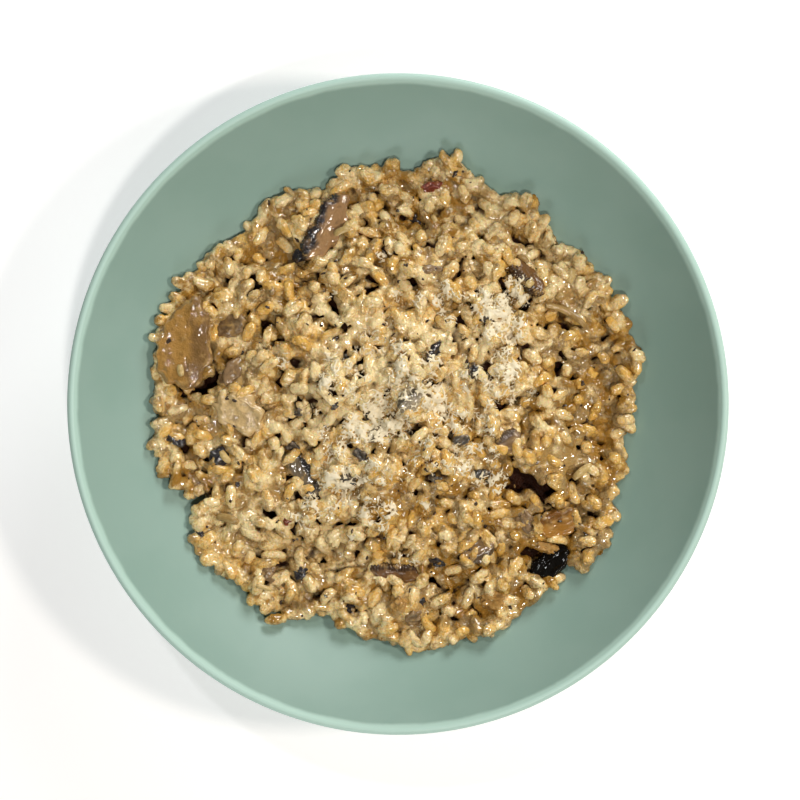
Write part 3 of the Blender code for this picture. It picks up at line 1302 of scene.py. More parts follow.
@dataclass
class RiceBed:
    """The creamy bed of rice: grains and sauce grown together over a smaller core.

    Attributes:
        core_steps: rings of the core's top and of its underside, and its segments.
        core_edge: how far inside the heap's edge the core ends.
        core_inset: how far below the heap's surface the core lies.
        gap_depth: how far it sinks below a gap between grains.
        blobs: number of lumps of sauce, whose sizes and depths follow in millimetres.
        pool_blobs: the same for each pool.
        fragments: number of broken bits of grain, whose sizes and depths follow in millimetres.
        voxel: smallest detail of the bed.
        smoothing: how far the sauce fills the creases between grains.
        starch: depth of the lumps of starch on the grains, where 1 is usual.
        clearance: between the rice and the bowl.
        swell: how much wider than a loose grain a grain of the bed is.
        lower: the layer of grains that shows in the gaps.
        edge_grains: number of grains round the heap's foot, piled up to edge_rise.
        edge_insets: how far inside the edge their middles lie, in millimetres.
        sticking_out: share of them that point outwards, spread by an angle and shifted in millimetres.
    """

    surface: HeapSurface
    finish: Material
    core_steps: tuple[int, int, int] = (40, 8, 150)
    core_edge: float = 1.6 * MM
    core_inset: float = 3.9 * MM
    core_noise: float = 1.6 * MM
    core_least: float = 0.8 * MM
    gap_depth: float = 3.5 * MM
    blobs: int = 1500
    blob_widths: Span = (2.6, 6.0)
    blob_heights: Span = (2.2, 3.4)
    blob_depths: Span = (0.9, 3.8)
    pool_blobs: int = 26
    pool_depths: Span = (0.3, 2.2)
    pool_swell: float = 1.4
    fragments: int = 2600
    fragment_sizes: Span = (0.9, 3.2)
    fragment_depths: Span = (-0.6, 1.8)
    voxel: float = 0.42 * MM
    smoothing: int = 2
    starch: float = 1.35
    most_triangles: int = 197000
    clearance: float = 0.15 * MM
    swell: float = 0.3 * MM
    lower: GrainLayer = field(default_factory=lambda: GrainLayer(5200, 2.9 * MM, 4.4 * MM, 2.8 * MM, 0.35))
    upper: GrainLayer = field(default_factory=lambda: GrainLayer(12000, 3.0 * MM, 3.2 * MM, -0.4 * MM, 0.6))
    edge_grains: int = 210
    edge_insets: Span = (-0.2, 3.0)
    edge_rise: float = 3.4 * MM
    sticking_out: float = 0.4
    sticking_spread: float = 0.6
    sticking_shift: Span = (-0.2, 1.7)
    seed: int = 11

    def core(self) -> BMesh:
        """Returns the core: a turned puck whose points are put below the heap's skin."""
        rings, under, segments = self.core_steps
        top = [(step / rings, 1.0) for step in range(rings + 1)]
        bottom = [(step / under, 0.0) for step in range(under, -1, -1)]
        made = turned(top + bottom, segments)
        edges: dict[float, float] = {}
        for vertex in made.verts:
            angle = round(math.atan2(vertex.co.y, vertex.co.x), 4)
            if angle not in edges:
                edges[angle] = self.surface.edge(angle) - self.core_edge
            radius = min(1.0, vertex.co.xy.length) * edges[angle]
            x, y = radius * math.cos(angle), radius * math.sin(angle)
            floor = float(self.surface.shape.inside_height(radius)) + self.clearance
            if vertex.co.z > 0.5:
                lump = self.core_noise * noise.noise(Vector((x, y, 0)) / (6 * MM))
                z = float(self.surface.height(x, y)) - self.core_inset + lump
                z -= sum(self.gap_depth * math.exp(-((gap.away(x, y) / GAP_REACH) ** 2)) for gap in GAPS)
                vertex.co = Vector((x, y, max(floor + self.core_least, z)))
            else:
                vertex.co = Vector((x, y, floor))
        return made

    def grains(self) -> list[Grain]:
        """Returns the grains of the bed, lower, upper and round the edge."""
        dice = Random(self.seed)
        laid = self.lower.sow(self.surface, dice)
        laid += self.upper.sow(self.surface, dice)
        return laid + list(self.edge(dice))

    def edge(self, dice: Random) -> Iterator[Grain]:
        """Yields grains that lie on the bowl round the heap's foot."""
        for step in range(self.edge_grains):
            angle = math.tau * (step + dice.random()) / self.edge_grains
            radius = self.surface.edge(angle) - dice.uniform(*self.edge_insets) * MM
            if in_gap(radius * math.cos(angle), radius * math.sin(angle)):
                continue
            slope = self.surface.shape.inside_slope(radius)
            away = toward(angle)
            normal = Vector((0, 0, math.cos(slope))) - away * math.sin(slope)
            grain = new_grain(dice, away * radius, normal, 0.25)
            lift = 0.5 * grain.girth + dice.random() ** 2 * self.edge_rise
            if dice.random() < self.sticking_out:
                outwards = away * math.cos(slope) + Vector((0, 0, math.sin(slope)))
                grain.along = Matrix.Rotation(dice.gauss(0, self.sticking_spread), 3, normal) @ outwards
                grain.up = (grain.up - grain.along * grain.up.dot(grain.along)).normalized()
                radius += dice.uniform(*self.sticking_shift) * MM
                grain.middle = away * radius
            grain.middle.z = float(self.surface.shape.inside_height(radius)) + lift
            yield grain

    def sauce(self) -> Iterator[Matrix]:
        """Yields the places of the lumps of sauce that fill in between the grains."""
        dice = Random(self.seed + 1)
        whole = Spot(0, 0, HEAP_SHARE * self.surface.reach / MM)
        tasks = [(whole, self.blob_depths, 1.0)] * self.blobs
        for pool in POOLS:
            tasks += [(pool, self.pool_depths, self.pool_swell)] * self.pool_blobs
        for pool, depths, wide in tasks:
            x, y = anywhere(dice, pool.radius * MM)
            x, y = x + pool.x * MM, y + pool.y * MM
            if not self.surface.is_rice(x, y) or in_gap(x, y, 2 * MM):
                continue
            z = float(self.surface.height(x, y)) - dice.uniform(*depths) * MM
            size = [wide * dice.uniform(*self.blob_widths) * MM for _ in range(2)]
            size.append(dice.uniform(*self.blob_heights) * MM)
            yield placing((x, y, z), spun(dice), size)

    def crumble(self) -> Iterator[Matrix]:
        """Yields the places of broken bits of grain that cling to the others."""
        dice = Random(self.seed + 2)
        for _ in range(self.fragments):
            x, y = anywhere(dice, HEAP_SHARE * self.surface.reach)
            if not self.surface.is_rice(x, y) or in_gap(x, y):
                continue
            z = float(self.surface.height(x, y)) - dice.uniform(*self.fragment_depths) * MM
            size = [dice.uniform(*self.fragment_sizes) * MM for _ in range(3)]
            yield placing((x, y, z), tumbled(dice), size)

    def shade(self, mesh: Mesh, grains: list[Grain]) -> None:
        """Stores each point's tint, sauce and depth.

        Args:
            mesh: the bed.
            grains: the grains that it was grown from.
        """
        spots = [(spot, grain) for grain in grains for spot in grain.spots()]
        tree = KDTree(len(spots))
        for index, (spot, _) in enumerate(spots):
            tree.insert(spot, index)
        tree.balance()
        points = points_of(mesh)
        tint, away = np.zeros(len(points)), np.zeros(len(points))
        for row, point in enumerate(points):
            grain = spots[tree.find(point)[1]][1]
            reach = Vector(point) - grain.middle
            along = max(-GRAIN_CORE, min(GRAIN_CORE, reach.dot(grain.along) / grain.length))
            away[row] = (reach - grain.along * (along * grain.length)).length / grain.girth
            tint[row] = grain.tint
        depth = self.surface.height(points[:, 0], points[:, 1]) - points[:, 2]
        # the darker patches lower the tint and add sauce; the largest is painted shade
        creamed, darker_patch = nearness(points, CREAMED), nearness(points, DARKER_PATCHES)
        # painted shade: where the skin faces sideways or down it gets a darker tint and more sauce, partly
        # as sauce that runs off the tops
        side_shade_and_run_off = 1 - eased(normals_of(mesh)[:, 2], 0.1, 0.85)
        set_values(mesh, "tint", tint + 0.8 * creamed + 0.15 - 0.6 * side_shade_and_run_off - 0.4 * darker_patch)
        set_values(mesh, "cream", np.maximum(creamed, nearness(points, POOLS)))
        sauce = np.clip((away - 0.50) / 0.26, 0, 1) + 0.45 * darker_patch - 0.3 * creamed + 0.3 * side_shade_and_run_off
        # more sauce in the creases between clumps and less on their tops: partly sauce that gathers there,
        # partly painted shade
        lumps = np.array([self.surface.lumps(x, y) for x, y in points[:, :2]])
        sauce += 0.45 * np.clip(-lumps / (2.5 * MM), -1, 1)
        sauce += 0.6 * eased(np.hypot(points[:, 0], points[:, 1]), 20 * MM, 70 * MM) - 0.42
        set_values(mesh, "sauce", np.clip(sauce, 0, 1.4))
        set_values(mesh, "depth", np.clip((depth - 0.5 * MM) / (4.5 * MM), 0, 1))

    def keep_off_bowl(self, mesh: Mesh) -> None:
        """Lifts what would touch the bowl."""
        points = points_of(mesh)
        floor = self.surface.shape.inside_height(np.hypot(points[:, 0], points[:, 1]))
        points[:, 2] = np.maximum(points[:, 2], floor + self.clearance)
        set_points(mesh, points)

    def build(self) -> Object:
        """Returns the bed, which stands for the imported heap."""
        grains = self.grains()
        forms = grain_forms()
        core, drop = Form.of(self.core()), ball(2)
        swarm = Swarm()
        swarm.add(core, core.points)
        for grain in grains:
            form = forms[grain.kind][grain.variant]
            swarm.add(form, form.placed(grain.place(self.swell)))
        for place in [*self.sauce(), *self.crumble()]:
            swarm.add(drop, drop.placed(place))
        log.info("bed of %d grains", len(grains))
        mesh = grown_together(swarm.mesh("bed"), "rice_bed", self.voxel, self.smoothing)
        roughen(mesh, self.starch)
        mesh = thinned(mesh, self.most_triangles)
        self.keep_off_bowl(mesh)
        self.shade(mesh, grains)
        return add_piece("rice_bed", mesh, self.finish, "rice", "risotto_heap")


def roughen(mesh: Mesh, depth: float) -> None:
    """Covers rice with small lumps of starch.

    Args:
        mesh: the rice.
        depth: how deep the lumps are, where 1 is usual.
    """
    points = points_of(mesh)
    push = 0.24 * MM * noise_at(points, 2.6 * MM)
    push += 0.14 * MM * lumps_at(points, 1.7 * MM)
    push += 0.03 * MM * lumps_at(points, 0.9 * MM, 5.0)
    push_out(mesh, depth * push)


class Ground:
    """The finished food so far, for what is laid on it."""

    def __init__(self, pieces: Iterable[Object]) -> None:
        """Reads the pieces' meshes."""
        graph = bpy.context.evaluated_depsgraph_get()
        self.trees = [BVHTree.FromObject(piece, graph) for piece in pieces]

    def height(self, x: float, y: float) -> float | None:
        """Height of the highest food at a point, or None beside it."""
        hits = [tree.ray_cast(Vector((x, y, ABOVE_ALL)), DOWN)[0] for tree in self.trees]
        return max((hit.z for hit in hits if hit), default=None)

    def rest(self, x: float, y: float, yaw: float, length: float) -> tuple[Vector, Vector] | None:
        """How a stiff straight thing comes to rest.

        Args:
            x: of its middle.
            y: of its middle.
            yaw: direction that it points in.
            length: its length.

        Returns:
            The point that its middle lies on and the direction along it, or None beside the food.
        """
        step = toward(yaw) * (0.42 * length)
        heights = [self.height(x + share * step.x, y + share * step.y) for share in (-1, 0, 1)]
        if None in heights:
            return None
        back, middle, front = heights
        along = (step * 2 + Vector((0, 0, front - back))).normalized()
        return Vector((x, y, max(middle, (front + back) / 2))), along

    def drape(self, path: list[Vector], steepest: float) -> list[Vector] | None:
        """How a thin limp thing comes to rest.

        Args:
            path: points along it, in plan.
            steepest: the steepest that it hangs.

        Returns:
            The points that it lies on, spanning what is too narrow to sink into, or None beside
            the food.
        """
        heights = [self.height(point.x, point.y) for point in path]
        if None in heights:
            return None
        draped = []
        for point in path:
            reach = [(other - point).xy.length * steepest for other in path]
            draped.append(Vector((point.x, point.y, max(h - r for h, r in zip(heights, reach)))))
        return draped


@dataclass
class Laid:
    """Something that is laid on the food.

    Attributes:
        ground: the food that it lies on.
        surface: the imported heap's top.
    """

    ground: Ground
    surface: HeapSurface


GRAINS_ON_TOPPINGS = ((-64.5, 20.8, -69.0),)  # x and y in millimetres, and yaw in degrees


@dataclass
class LooseGrains(Laid):
    """Whole grains that lie on the bed, one piece for each kind.

    Attributes:
        toppings: what they mostly don't lie on.
        tries: how many places are tried.
        spacing: least distance between two of them.
        sink: how far above the ground a grain's middle lies, as a share of its thickness.
        on_toppings: share of them that may lie on a topping.
        tucked_each: places tried round each topping for grains that hide its edge.
        steepest: the steepest that one may lie.
        proud: how far above the heap's plain surface one may lie.
        starch: depth of the lumps of starch on them, where 1 is usual.
    """

    toppings: list[Object]
    finish: Material
    tries: int = 4200
    spacing: float = 4.8 * MM
    sink: float = -0.06
    on_toppings: float = 0.0
    tucked_each: int = 12
    steepest: float = 0.7
    proud: float = 2.0 * MM
    starch: float = 1.2
    seed: int = 23

    def settle(self, grain: Grain, ground: Ground) -> bool:
        """Lays a grain on the food below it, and says whether it lies well there."""
        yaw = math.atan2(grain.along.y, grain.along.x)
        rest = ground.rest(grain.middle.x, grain.middle.y, yaw, grain.length)
        if rest is None or abs(rest[1].z) > self.steepest:
            return False
        grain.middle, grain.along = rest
        grain.middle.z += grain.girth * self.sink
        grain.up = (grain.up - grain.along * grain.up.dot(grain.along)).normalized()
        return True

    def known(self, dice: Random, crowd: Crowd) -> Iterator[Grain]:
        """Yields the grains that lie in known places on the toppings."""
        for x, y, yaw in GRAINS_ON_TOPPINGS:
            grain = new_grain(dice, Vector((x, y, 0)) * MM, UP, 0.0)
            grain.along = toward(math.radians(yaw))
            if self.settle(grain, Ground(self.toppings)):
                crowd.add(grain)
                yield grain

    def strewn(self, dice: Random, crowd: Crowd) -> Iterator[Grain]:
        """Yields grains all over the bed."""
        toppings, bed = Ground(self.toppings), self.ground
        for _ in range(self.tries):
            x, y = anywhere(dice, 0.98 * self.surface.reach)
            grain = new_grain(dice, Vector((x, y, 0)), UP, 0.0)
            over = any(toppings.height(spot.x, spot.y) for spot in grain.spots())
            if over and dice.random() > self.on_toppings:
                continue
            if not self.settle(grain, toppings if over else bed):
                continue
            low = over or grain.middle.z < float(self.surface.height(x, y)) + self.proud
            if low and crowd.admit(grain, self.surface):
                yield grain

    def tucked(self, dice: Random, crowd: Crowd) -> Iterator[Grain]:
        """Yields grains that lie half on the edge of a topping."""
        everything = Ground(self.toppings)
        everything.trees += self.ground.trees
        for topping in self.toppings:
            for angle, outline in outlines(points_of(topping.data), self.tucked_each, dice):
                grain = new_grain(dice, outline, UP, 0.0)
                across = abs(toward(angle).dot(grain.along))
                if across > 0.7 or not self.settle(grain, everything):
                    continue
                grain.middle.z -= 0.25 * grain.girth
                if crowd.admit(grain, self.surface):
                    yield grain

    def build(self) -> list[Object]:
        """Returns one piece for each kind of grain."""
        dice = Random(self.seed)
        crowd = Crowd(0.6 * self.spacing)
        grains = [*self.known(dice, crowd), *self.tucked(dice, crowd)]
        crowd.spacing = self.spacing
        grains += self.strewn(dice, crowd)
        log.info("%d loose grains", len(grains))
        forms = grain_forms()
        pieces = []
        for kind in GRAIN_SHAPES:
            swarm = Swarm()
            sauce = []
            for grain in grains:
                if grain.kind is not kind:
                    continue
                form = forms[kind][grain.variant]
                points = form.placed(grain.place())
                # the darker patches lower the tint, the largest as painted shade
                creamed, darker_patch = nearness(points, CREAMED), nearness(points, DARKER_PATCHES)
                swarm.add(form, points, grain.tint + 0.6 * creamed.mean() - 0.7 * darker_patch.mean())
                # painted shade: each grain's underside takes more sauce and so turns darker, partly as
                # sauce that clings where it meets the bed
                low = (grain.middle.z - points[:, 2]) / grain.girth
                sauce.append(0.30 + 1.2 * low + 0.45 * darker_patch)
            name = f"{kind.value}_grains"
            mesh = swarm.mesh(name)
            set_values(mesh, "sauce", np.clip(np.concatenate(sauce), 0, 1))
            roughen(mesh, self.starch)
            pieces.append(add_piece(name, mesh, self.finish, "rice"))
        return pieces


def outlines(points: np.ndarray, count: int, dice: Random) -> Iterator[tuple[float, Vector]]:
    """Yields places on the outline, in plan, of each thing in a mesh.

    Args:
        points: the mesh's points.
        count: how many places on each.
        dice: the source of chance.

    Yields:
        The direction from the thing's middle to the place, and the place.
    """
    middle = points.mean(axis=0)
    away = points[:, :2] - middle[:2]
    if np.hypot(*away.T).max() > MOST_TOPPING:
        return
    for step in range(count):
        angle = math.tau * (step + dice.random()) / count
        reach = (away @ (math.cos(angle), math.sin(angle))).max() * dice.uniform(0.85, 1.05)
        x, y = middle[0] + reach * math.cos(angle), middle[1] + reach * math.sin(angle)
        yield angle, Vector((x, y, 0))


# Mushroom


class SliceKind(Enum):
    """What a slice of mushroom was cut from, or what it is coated with."""

    CAP = "cap"
    GILL = "gill"
    CREAMY = "creamy"
    BROWN = "brown"
    AMBER = "amber"
    BLACK = "black"
    SMOKY = "smoky"
    GREY = "grey"
    PALE = "pale"


MUSHROOM_FINISHES = {
    SliceKind.CAP: MushroomFinish(
        "mushroom_cap", (0.22, 0.117, 0.036), (0.41, 0.215, 0.050), (0.46, 0.28, 0.090),
        film_low=0.7, coat=0.9, bump=0.8 * MM,
    ),
    SliceKind.GILL: MushroomFinish(
        "mushroom_gills", (0.014, 0.010, 0.011), (0.33, 0.185, 0.075), (0.42, 0.22, 0.07), film_low=0.75
    ),
    SliceKind.CREAMY: MushroomFinish(
        "mushroom_creamy", (0.46, 0.30, 0.12), (0.62, 0.43, 0.19), (0.46, 0.29, 0.10),
        film=(0.60, 0.41, 0.185), film_low=0.4, coat=1.0, bump=0.8 * MM,
    ),
    SliceKind.BROWN: MushroomFinish(
        "mushroom_brown", (0.045, 0.019, 0.006), (0.165, 0.074, 0.018), (0.26, 0.125, 0.034),
        film_low=0.7, coat=0.5,
    ),
    SliceKind.AMBER: MushroomFinish(
        "mushroom_amber", (0.17, 0.065, 0.008), (0.34, 0.150, 0.018), (0.45, 0.23, 0.042), coat=0.5
    ),
    # nearly pure black: a dark slice, and painted shadow where the heap meets the bowl at the lower right
    SliceKind.BLACK: MushroomFinish(
        "mushroom_black", (0.002, 0.0015, 0.001), (0.004, 0.003, 0.002), (0.012, 0.009, 0.005),
        film_low=1.1, specular=0.05, coat=0.3,
    ),
    SliceKind.SMOKY: MushroomFinish(
        "mushroom_smoky", (0.015, 0.012, 0.009), (0.15, 0.113, 0.066), (0.28, 0.21, 0.12), film_low=0.6
    ),
    SliceKind.PALE: MushroomFinish(
        "mushroom_pale", (0.07, 0.060, 0.040), (0.27, 0.22, 0.140), (0.36, 0.31, 0.215),
        film=(0.62, 0.49, 0.29), film_low=0.45,
    ),
    SliceKind.GREY: MushroomFinish(
        "mushroom_grey", (0.085, 0.049, 0.018), (0.20, 0.118, 0.046), (0.18, 0.105, 0.038), film_low=0.65
    ),
}


@dataclass(frozen=True)
class SliceLook:
    """How one packed slice is dressed.

    Attributes:
        node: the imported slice.
        kind: which finish it takes.
        gills_at: azimuth in degrees of the side that its gills are on.
        gill_depth: depth of the gills.
        wrinkle: depth of its wrinkles.
        hollow: how far the middle of its top sinks.
        nibble: unevenness of its outline.
        soften: how far its edges are rounded.
    """

    node: str
    kind: SliceKind
    gills_at: float
    gill_depth: float = 0.0
    wrinkle: float = 0.5 * MM
    hollow: float = 0.5 * MM
    nibble: float = 1.6 * MM
    soften: int = 6


SLICES = (
    SliceLook("mushroom_cap_slice", SliceKind.CAP, 10, 0.05 * MM, 0.45 * MM, 1.2 * MM, 2.4 * MM),
    SliceLook("mushroom_gill_slice", SliceKind.GILL, 160, 0.22 * MM, 0.5 * MM, 0.5 * MM, 2.4 * MM),
    SliceLook("mushroom_creamy_slice", SliceKind.CREAMY, 60, 0.0, 1.3 * MM, 0.3 * MM, 2.4 * MM, 24),
    SliceLook("mushroom_tucked_slice", SliceKind.BROWN, 220, 0.20 * MM),
    SliceLook("mushroom_amber_slice", SliceKind.AMBER, 120, 0.05 * MM, 0.8 * MM),
    # painted shadow as well as a dark slice: its finish is nearly pure black
    SliceLook("mushroom_black_slice", SliceKind.BLACK, 120, 0.15 * MM),
    SliceLook("mushroom_edge_slice", SliceKind.BROWN, 90, 0.25 * MM),
    SliceLook("mushroom_grey_slice", SliceKind.GREY, 0, 0.10 * MM),
    SliceLook("mushroom_middle_slice", SliceKind.PALE, 130, 0.15 * MM),
    SliceLook("mushroom_left_slice", SliceKind.SMOKY, 40, 0.20 * MM),
    SliceLook("mushroom_right_slice", SliceKind.GREY, 130, 0.20 * MM),
)


@dataclass
class MushroomSlices:
    """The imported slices, rounded, wrinkled and given gills.

    Attributes:
        looks: one for each slice.
        voxel: smallest detail.
        gill_pitch: distance between gills.
        most_triangles: of the largest slice.
    """

    looks: tuple[SliceLook, ...] = SLICES
    voxel: float = 0.32 * MM
    gill_pitch: float = 1.0 * MM
    most_triangles: int = 12000

    def rounded(self, node: Object, soften: int) -> Mesh:
        """Copies a packed slice and rounds its edges.

        Args:
            node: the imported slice.
            soften: how far its edges are rounded.

        Returns:
            The copy's mesh.
        """
        made = bmesh.new()
        made.from_mesh(node.data)
        bmesh.ops.remove_doubles(made, verts=made.verts, dist=WELD)
        bmesh.ops.recalc_face_normals(made, faces=made.faces)
        mesh = grown_together(mesh_of(made, node.name), f"{node.name}_dressed", self.voxel, soften)
        return thinned(mesh, self.most_triangles)

    def dress(self, mesh: Mesh, look: SliceLook) -> None:
        """Gives a slice its gills and wrinkles, and stores which part each point belongs to.

        Args:
            mesh: the slice.
            look: how it is dressed.
        """
        points, normals = points_of(mesh), normals_of(mesh)
        middle = points.mean(axis=0)
        axes = np.linalg.eigh(np.cov((points - middle).T))[1]
        up = axes[:, 0] * np.sign(axes[2, 0])
        azimuth = math.radians(look.gills_at)
        across = axes[:, 1] * np.sign(axes[:, 1] @ (math.cos(azimuth), math.sin(azimuth), 0) + 1e-9)
        along = np.cross(across, up)
        local = (points - middle) @ np.array([along, across, up]).T
        share = local / np.abs(local).max(axis=0)
        sway = noise_at(local, 5 * MM)
        side = share[:, 1] + 0.5 * sway + 0.2 * noise_at(local, 1.6 * MM, 4.0)
        gills = eased(side, 0.05, 0.50) if look.gill_depth else np.zeros(len(points))
        skin = eased(-share[:, 1], 0.80, 0.95)
        lumps = noise_at(local * (0.6, 1, 1), 3.2 * MM)
        folds = lumps_at(local * (0.4, 1, 1), 2.2 * MM, 3.0)
        nibbles = noise_at(local * (1, 1, 0), 4.2 * MM, 9.0)
        ridge = np.sin(math.tau * local[:, 0] / self.gill_pitch + 5 * sway)
        open_top = np.clip(1 - share[:, 0] ** 2, 0, 1) * np.clip(1 - share[:, 1] ** 2, 0, 1)
        push = look.wrinkle * (lumps + 0.35 * folds) + look.gill_depth * gills * ridge
        push -= look.hollow * open_top * (normals @ up > 0.3)
        rim = np.clip(np.hypot(share[:, 0], share[:, 1]), 0, 1)
        flat = (local * (1, 1, 0)) @ np.array([along, across, up])
        spread = flat / np.maximum(np.linalg.norm(flat, axis=1, keepdims=True), MM)
        points = points + normals * push[:, None] + spread * (look.nibble * rim * (nibbles - 0.2))[:, None]
        set_points(mesh, points)
        set_values(mesh, "part", 0.5 - 0.5 * gills + 0.5 * skin)
        set_values(mesh, "rim", rim)

    def build(self) -> list[Object]:
        """Returns the slices."""
        finishes: dict[SliceKind, Material] = {}
        pieces = []
        for look in self.looks:
            if look.kind not in finishes:
                finishes[look.kind] = MUSHROOM_FINISHES[look.kind].build()
            mesh = self.rounded(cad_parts[look.node], look.soften)
            self.dress(mesh, look)
            name = f"{look.node}_dressed"
            pieces.append(add_piece(name, mesh, finishes[look.kind], "mushroom", look.node))
        return pieces


class Scrap(NamedTuple):
    """A small flat bit that lies on the rice, in millimetres and degrees."""

    x: float
    y: float
    yaw: float
    length: float
    width: float
    thickness: float


# For each colour of scraps, its finish and the bits.
SCRAPS = (
    (
        MushroomFinish(
            "dark_scraps", (0.007, 0.006, 0.008), (0.022, 0.018, 0.020), (0.06, 0.05, 0.05), film_low=0.7
        ),
        listed(
            Scrap,
            (-63.9, -19.2, 20, 6.2, 5.6, 3.2), (-80.0, -12.6, -30, 7.0, 3.6, 2.6),
            (-35.1, -60.9, 10, 4.6, 4.2, 2.8), (12.5, 18.7, 62, 7.4, 4.6, 2.8),
            (26.4, 11.9, 80, 5.0, 3.0, 2.2), (13.9, -56.4, -10, 6.2, 4.2, 2.6),
            (-17.5, -73.4, 20, 3.6, 2.8, 2.0), (6.1, 66.7, 60, 3.8, 3.4, 2.2),
            (-71.2, -47.1, -30, 3.2, 2.2, 1.8), (8.7, -71.0, 30, 2.8, 2.4, 1.8),
            (-34.4, 54.0, 49, 9.6, 4.8, 3.2), (-9.4, -3.7, 30, 4.2, 2.8, 2.2),
            (-58.0, -28.9, 0, 2.4, 1.4, 1.2),
        ),
    ),
    (
        MushroomFinish(
            "smoky_scraps", (0.010, 0.008, 0.007), (0.070, 0.056, 0.042), (0.22, 0.175, 0.125),
            film=(0.42, 0.31, 0.17),
        ),
        listed(
            Scrap,
            (-6.9, -11.1, 30, 6.4, 4.0, 2.6), (-19.2, -27.4, 10, 7.4, 4.6, 2.8),
            (-13.2, -18.3, -40, 6.4, 3.2, 2.4), (-30.0, -31.0, 60, 5.2, 3.6, 2.6),
            (-37.5, -16.0, -50, 6.8, 3.8, 2.6), (21.9, -12.7, 20, 6.6, 4.0, 2.6),
            (29.4, -24.6, -30, 5.6, 3.2, 2.4), (8.2, 3.6, 60, 4.2, 2.8, 2.2),
            (-18.7, 16.4, 0, 3.0, 2.6, 1.8), (-22.5, -0.7, 30, 3.4, 2.2, 1.8),
            (12.8, -26.3, 0, 4.8, 2.8, 2.0), (-35.4, -2.5, 80, 3.6, 2.4, 1.8),
            (32.0, 31.0, 50, 4.4, 2.8, 2.2),
        ),
    ),
    (
        MushroomFinish("grey_scraps", (0.07, 0.041, 0.018), (0.23, 0.14, 0.063), (0.34, 0.23, 0.115)),
        listed(
            Scrap,
            (-46.1, -61.5, 0, 5.2, 4.6, 2.8), (45.9, -42.0, -55, 9.0, 5.2, 3.2),
            (5.5, -76.7, 20, 6.0, 5.0, 2.6), (12.5, 47.5, 0, 7.0, 5.0, 2.6),
            (-62.0, 28.0, 0, 12.0, 7.0, 3.6), (-59.7, 10.7, 75, 13.0, 6.5, 3.6),
        ),
    ),
    (
        MushroomFinish("brown_scraps", (0.18, 0.085, 0.018), (0.52, 0.28, 0.075), (0.64, 0.39, 0.13)),
        listed(
            Scrap,
            (54.4, -52.4, -35, 9.6, 3.6, 2.8), (33.5, -70.6, 10, 8.5, 6.0, 3.4),
            (0.4, -71.9, 20, 6.0, 4.0, 2.6),
        ),
    ),
    (
        MushroomFinish(
            "red_scraps", (0.07, 0.008, 0.003), (0.19, 0.028, 0.007), (0.40, 0.13, 0.035), film_low=0.8
        ),
        listed(
            Scrap,
            (13.2, 77.9, 5, 8.0, 3.2, 2.8), (-39.8, -41.8, 30, 2.8, 2.2, 1.8),
        ),
    ),
)


@dataclass
class Scraps(Laid):
    """Small bits of mushroom of one colour, in one piece that is named for its finish.

    Attributes:
        scraps: the bits.
        sink: how deep they sit, as a share of their thickness.
        ruffle: unevenness of their outline, where 1 is their size.
        fold: depth of their folds.
        wrinkle: depth of their wrinkles.
    """

    finish: MushroomFinish
    scraps: tuple[Scrap, ...]
    sink: float = 0.3
    ruffle: float = 0.42
    fold: float = 0.42 * MM
    wrinkle: float = 0.2 * MM

    def place(self, scrap: Scrap) -> Matrix:
        """Returns where a bit lies, resting on the rice below its middle."""
        x, y, yaw = scrap.x * MM, scrap.y * MM, math.radians(scrap.yaw)
        reach = 0.3 * scrap.length * MM
        angles = [math.tau * step / 6 for step in range(6)]
        heights = [self.ground.height(x + reach * math.cos(a), y + reach * math.sin(a)) for a in angles]
        found = sorted(height for height in heights if height is not None)
        z = found[2 * len(found) // 3] - self.sink * scrap.thickness * MM
        lean = UP.rotation_difference(self.surface.normal(x, y)).to_matrix().to_4x4()
        size = (scrap.length * MM, scrap.width * MM, scrap.thickness * MM)
        return placing((x, y, z), lean @ Matrix.Rotation(yaw, 4, "Z"), size)

    def build(self) -> Object:
        """Returns the bits as one piece."""
        form = ball(4)
        swarm = Swarm()
        for index, scrap in enumerate(self.scraps):
            shape = form.ruffled(self.ruffle, 3.1 * index)
            swarm.add(form, shape.placed(self.place(scrap)), index / len(self.scraps))
        mesh = swarm.mesh(self.finish.name)
        points = points_of(mesh)
        folds, fine = lumps_at(points, 1.5 * MM), noise_at(points, 0.7 * MM)
        push_out(mesh, folds * self.fold + fine * self.wrinkle)
        set_values(mesh, "part", 0.4 + 0.4 * folds + 0.2 * fine)
        return add_piece(self.finish.name, mesh, self.finish.build(), "mushroom")


FLECK_FINISH = MushroomFinish(
    "dark_flecks", (0.015, 0.010, 0.008), (0.05, 0.028, 0.015), (0.14, 0.07, 0.025), film_low=0.9
)


@dataclass
class Flecks(Laid):
    """Tiny dark flecks of mushroom all over the rice, in one piece.

    Attributes:
        count: how many fall.
        ruffle: unevenness of their outline, where 1 is their size.
        lift: how far above the food their middles lie.
    """

    finish: MushroomFinish = FLECK_FINISH
    count: int = 170
    ruffle: float = 0.5
    lift: float = 0.1 * MM
    seed: int = 61

    def build(self) -> Object:
        """Returns the flecks."""
        dice = Random(self.seed)
        form, swarm = ball(2), Swarm()
        for _ in range(self.count):
            x, y = anywhere(dice, 0.97 * self.surface.reach)
            height = self.ground.height(x, y)
            if height is None:
                continue
            long = dice.triangular(0.5, 2.2, 0.8)
            size = (long * MM, long * dice.uniform(0.4, 0.9) * MM, dice.uniform(0.4, 0.7) * MM)
            place = placing((x, y, height + self.lift), spun(dice), size)
            shape = form.ruffled(self.ruffle, 2.3 * len(swarm.tints))
            swarm.add(form, shape.placed(place), dice.random())
        mesh = swarm.mesh(self.finish.name)
        set_values(mesh, "part", 0.5 + 0.5 * noise_at(points_of(mesh), 1.5 * MM))
        return add_piece(self.finish.name, mesh, self.finish.build(), "mushroom")


# Onion and cheese


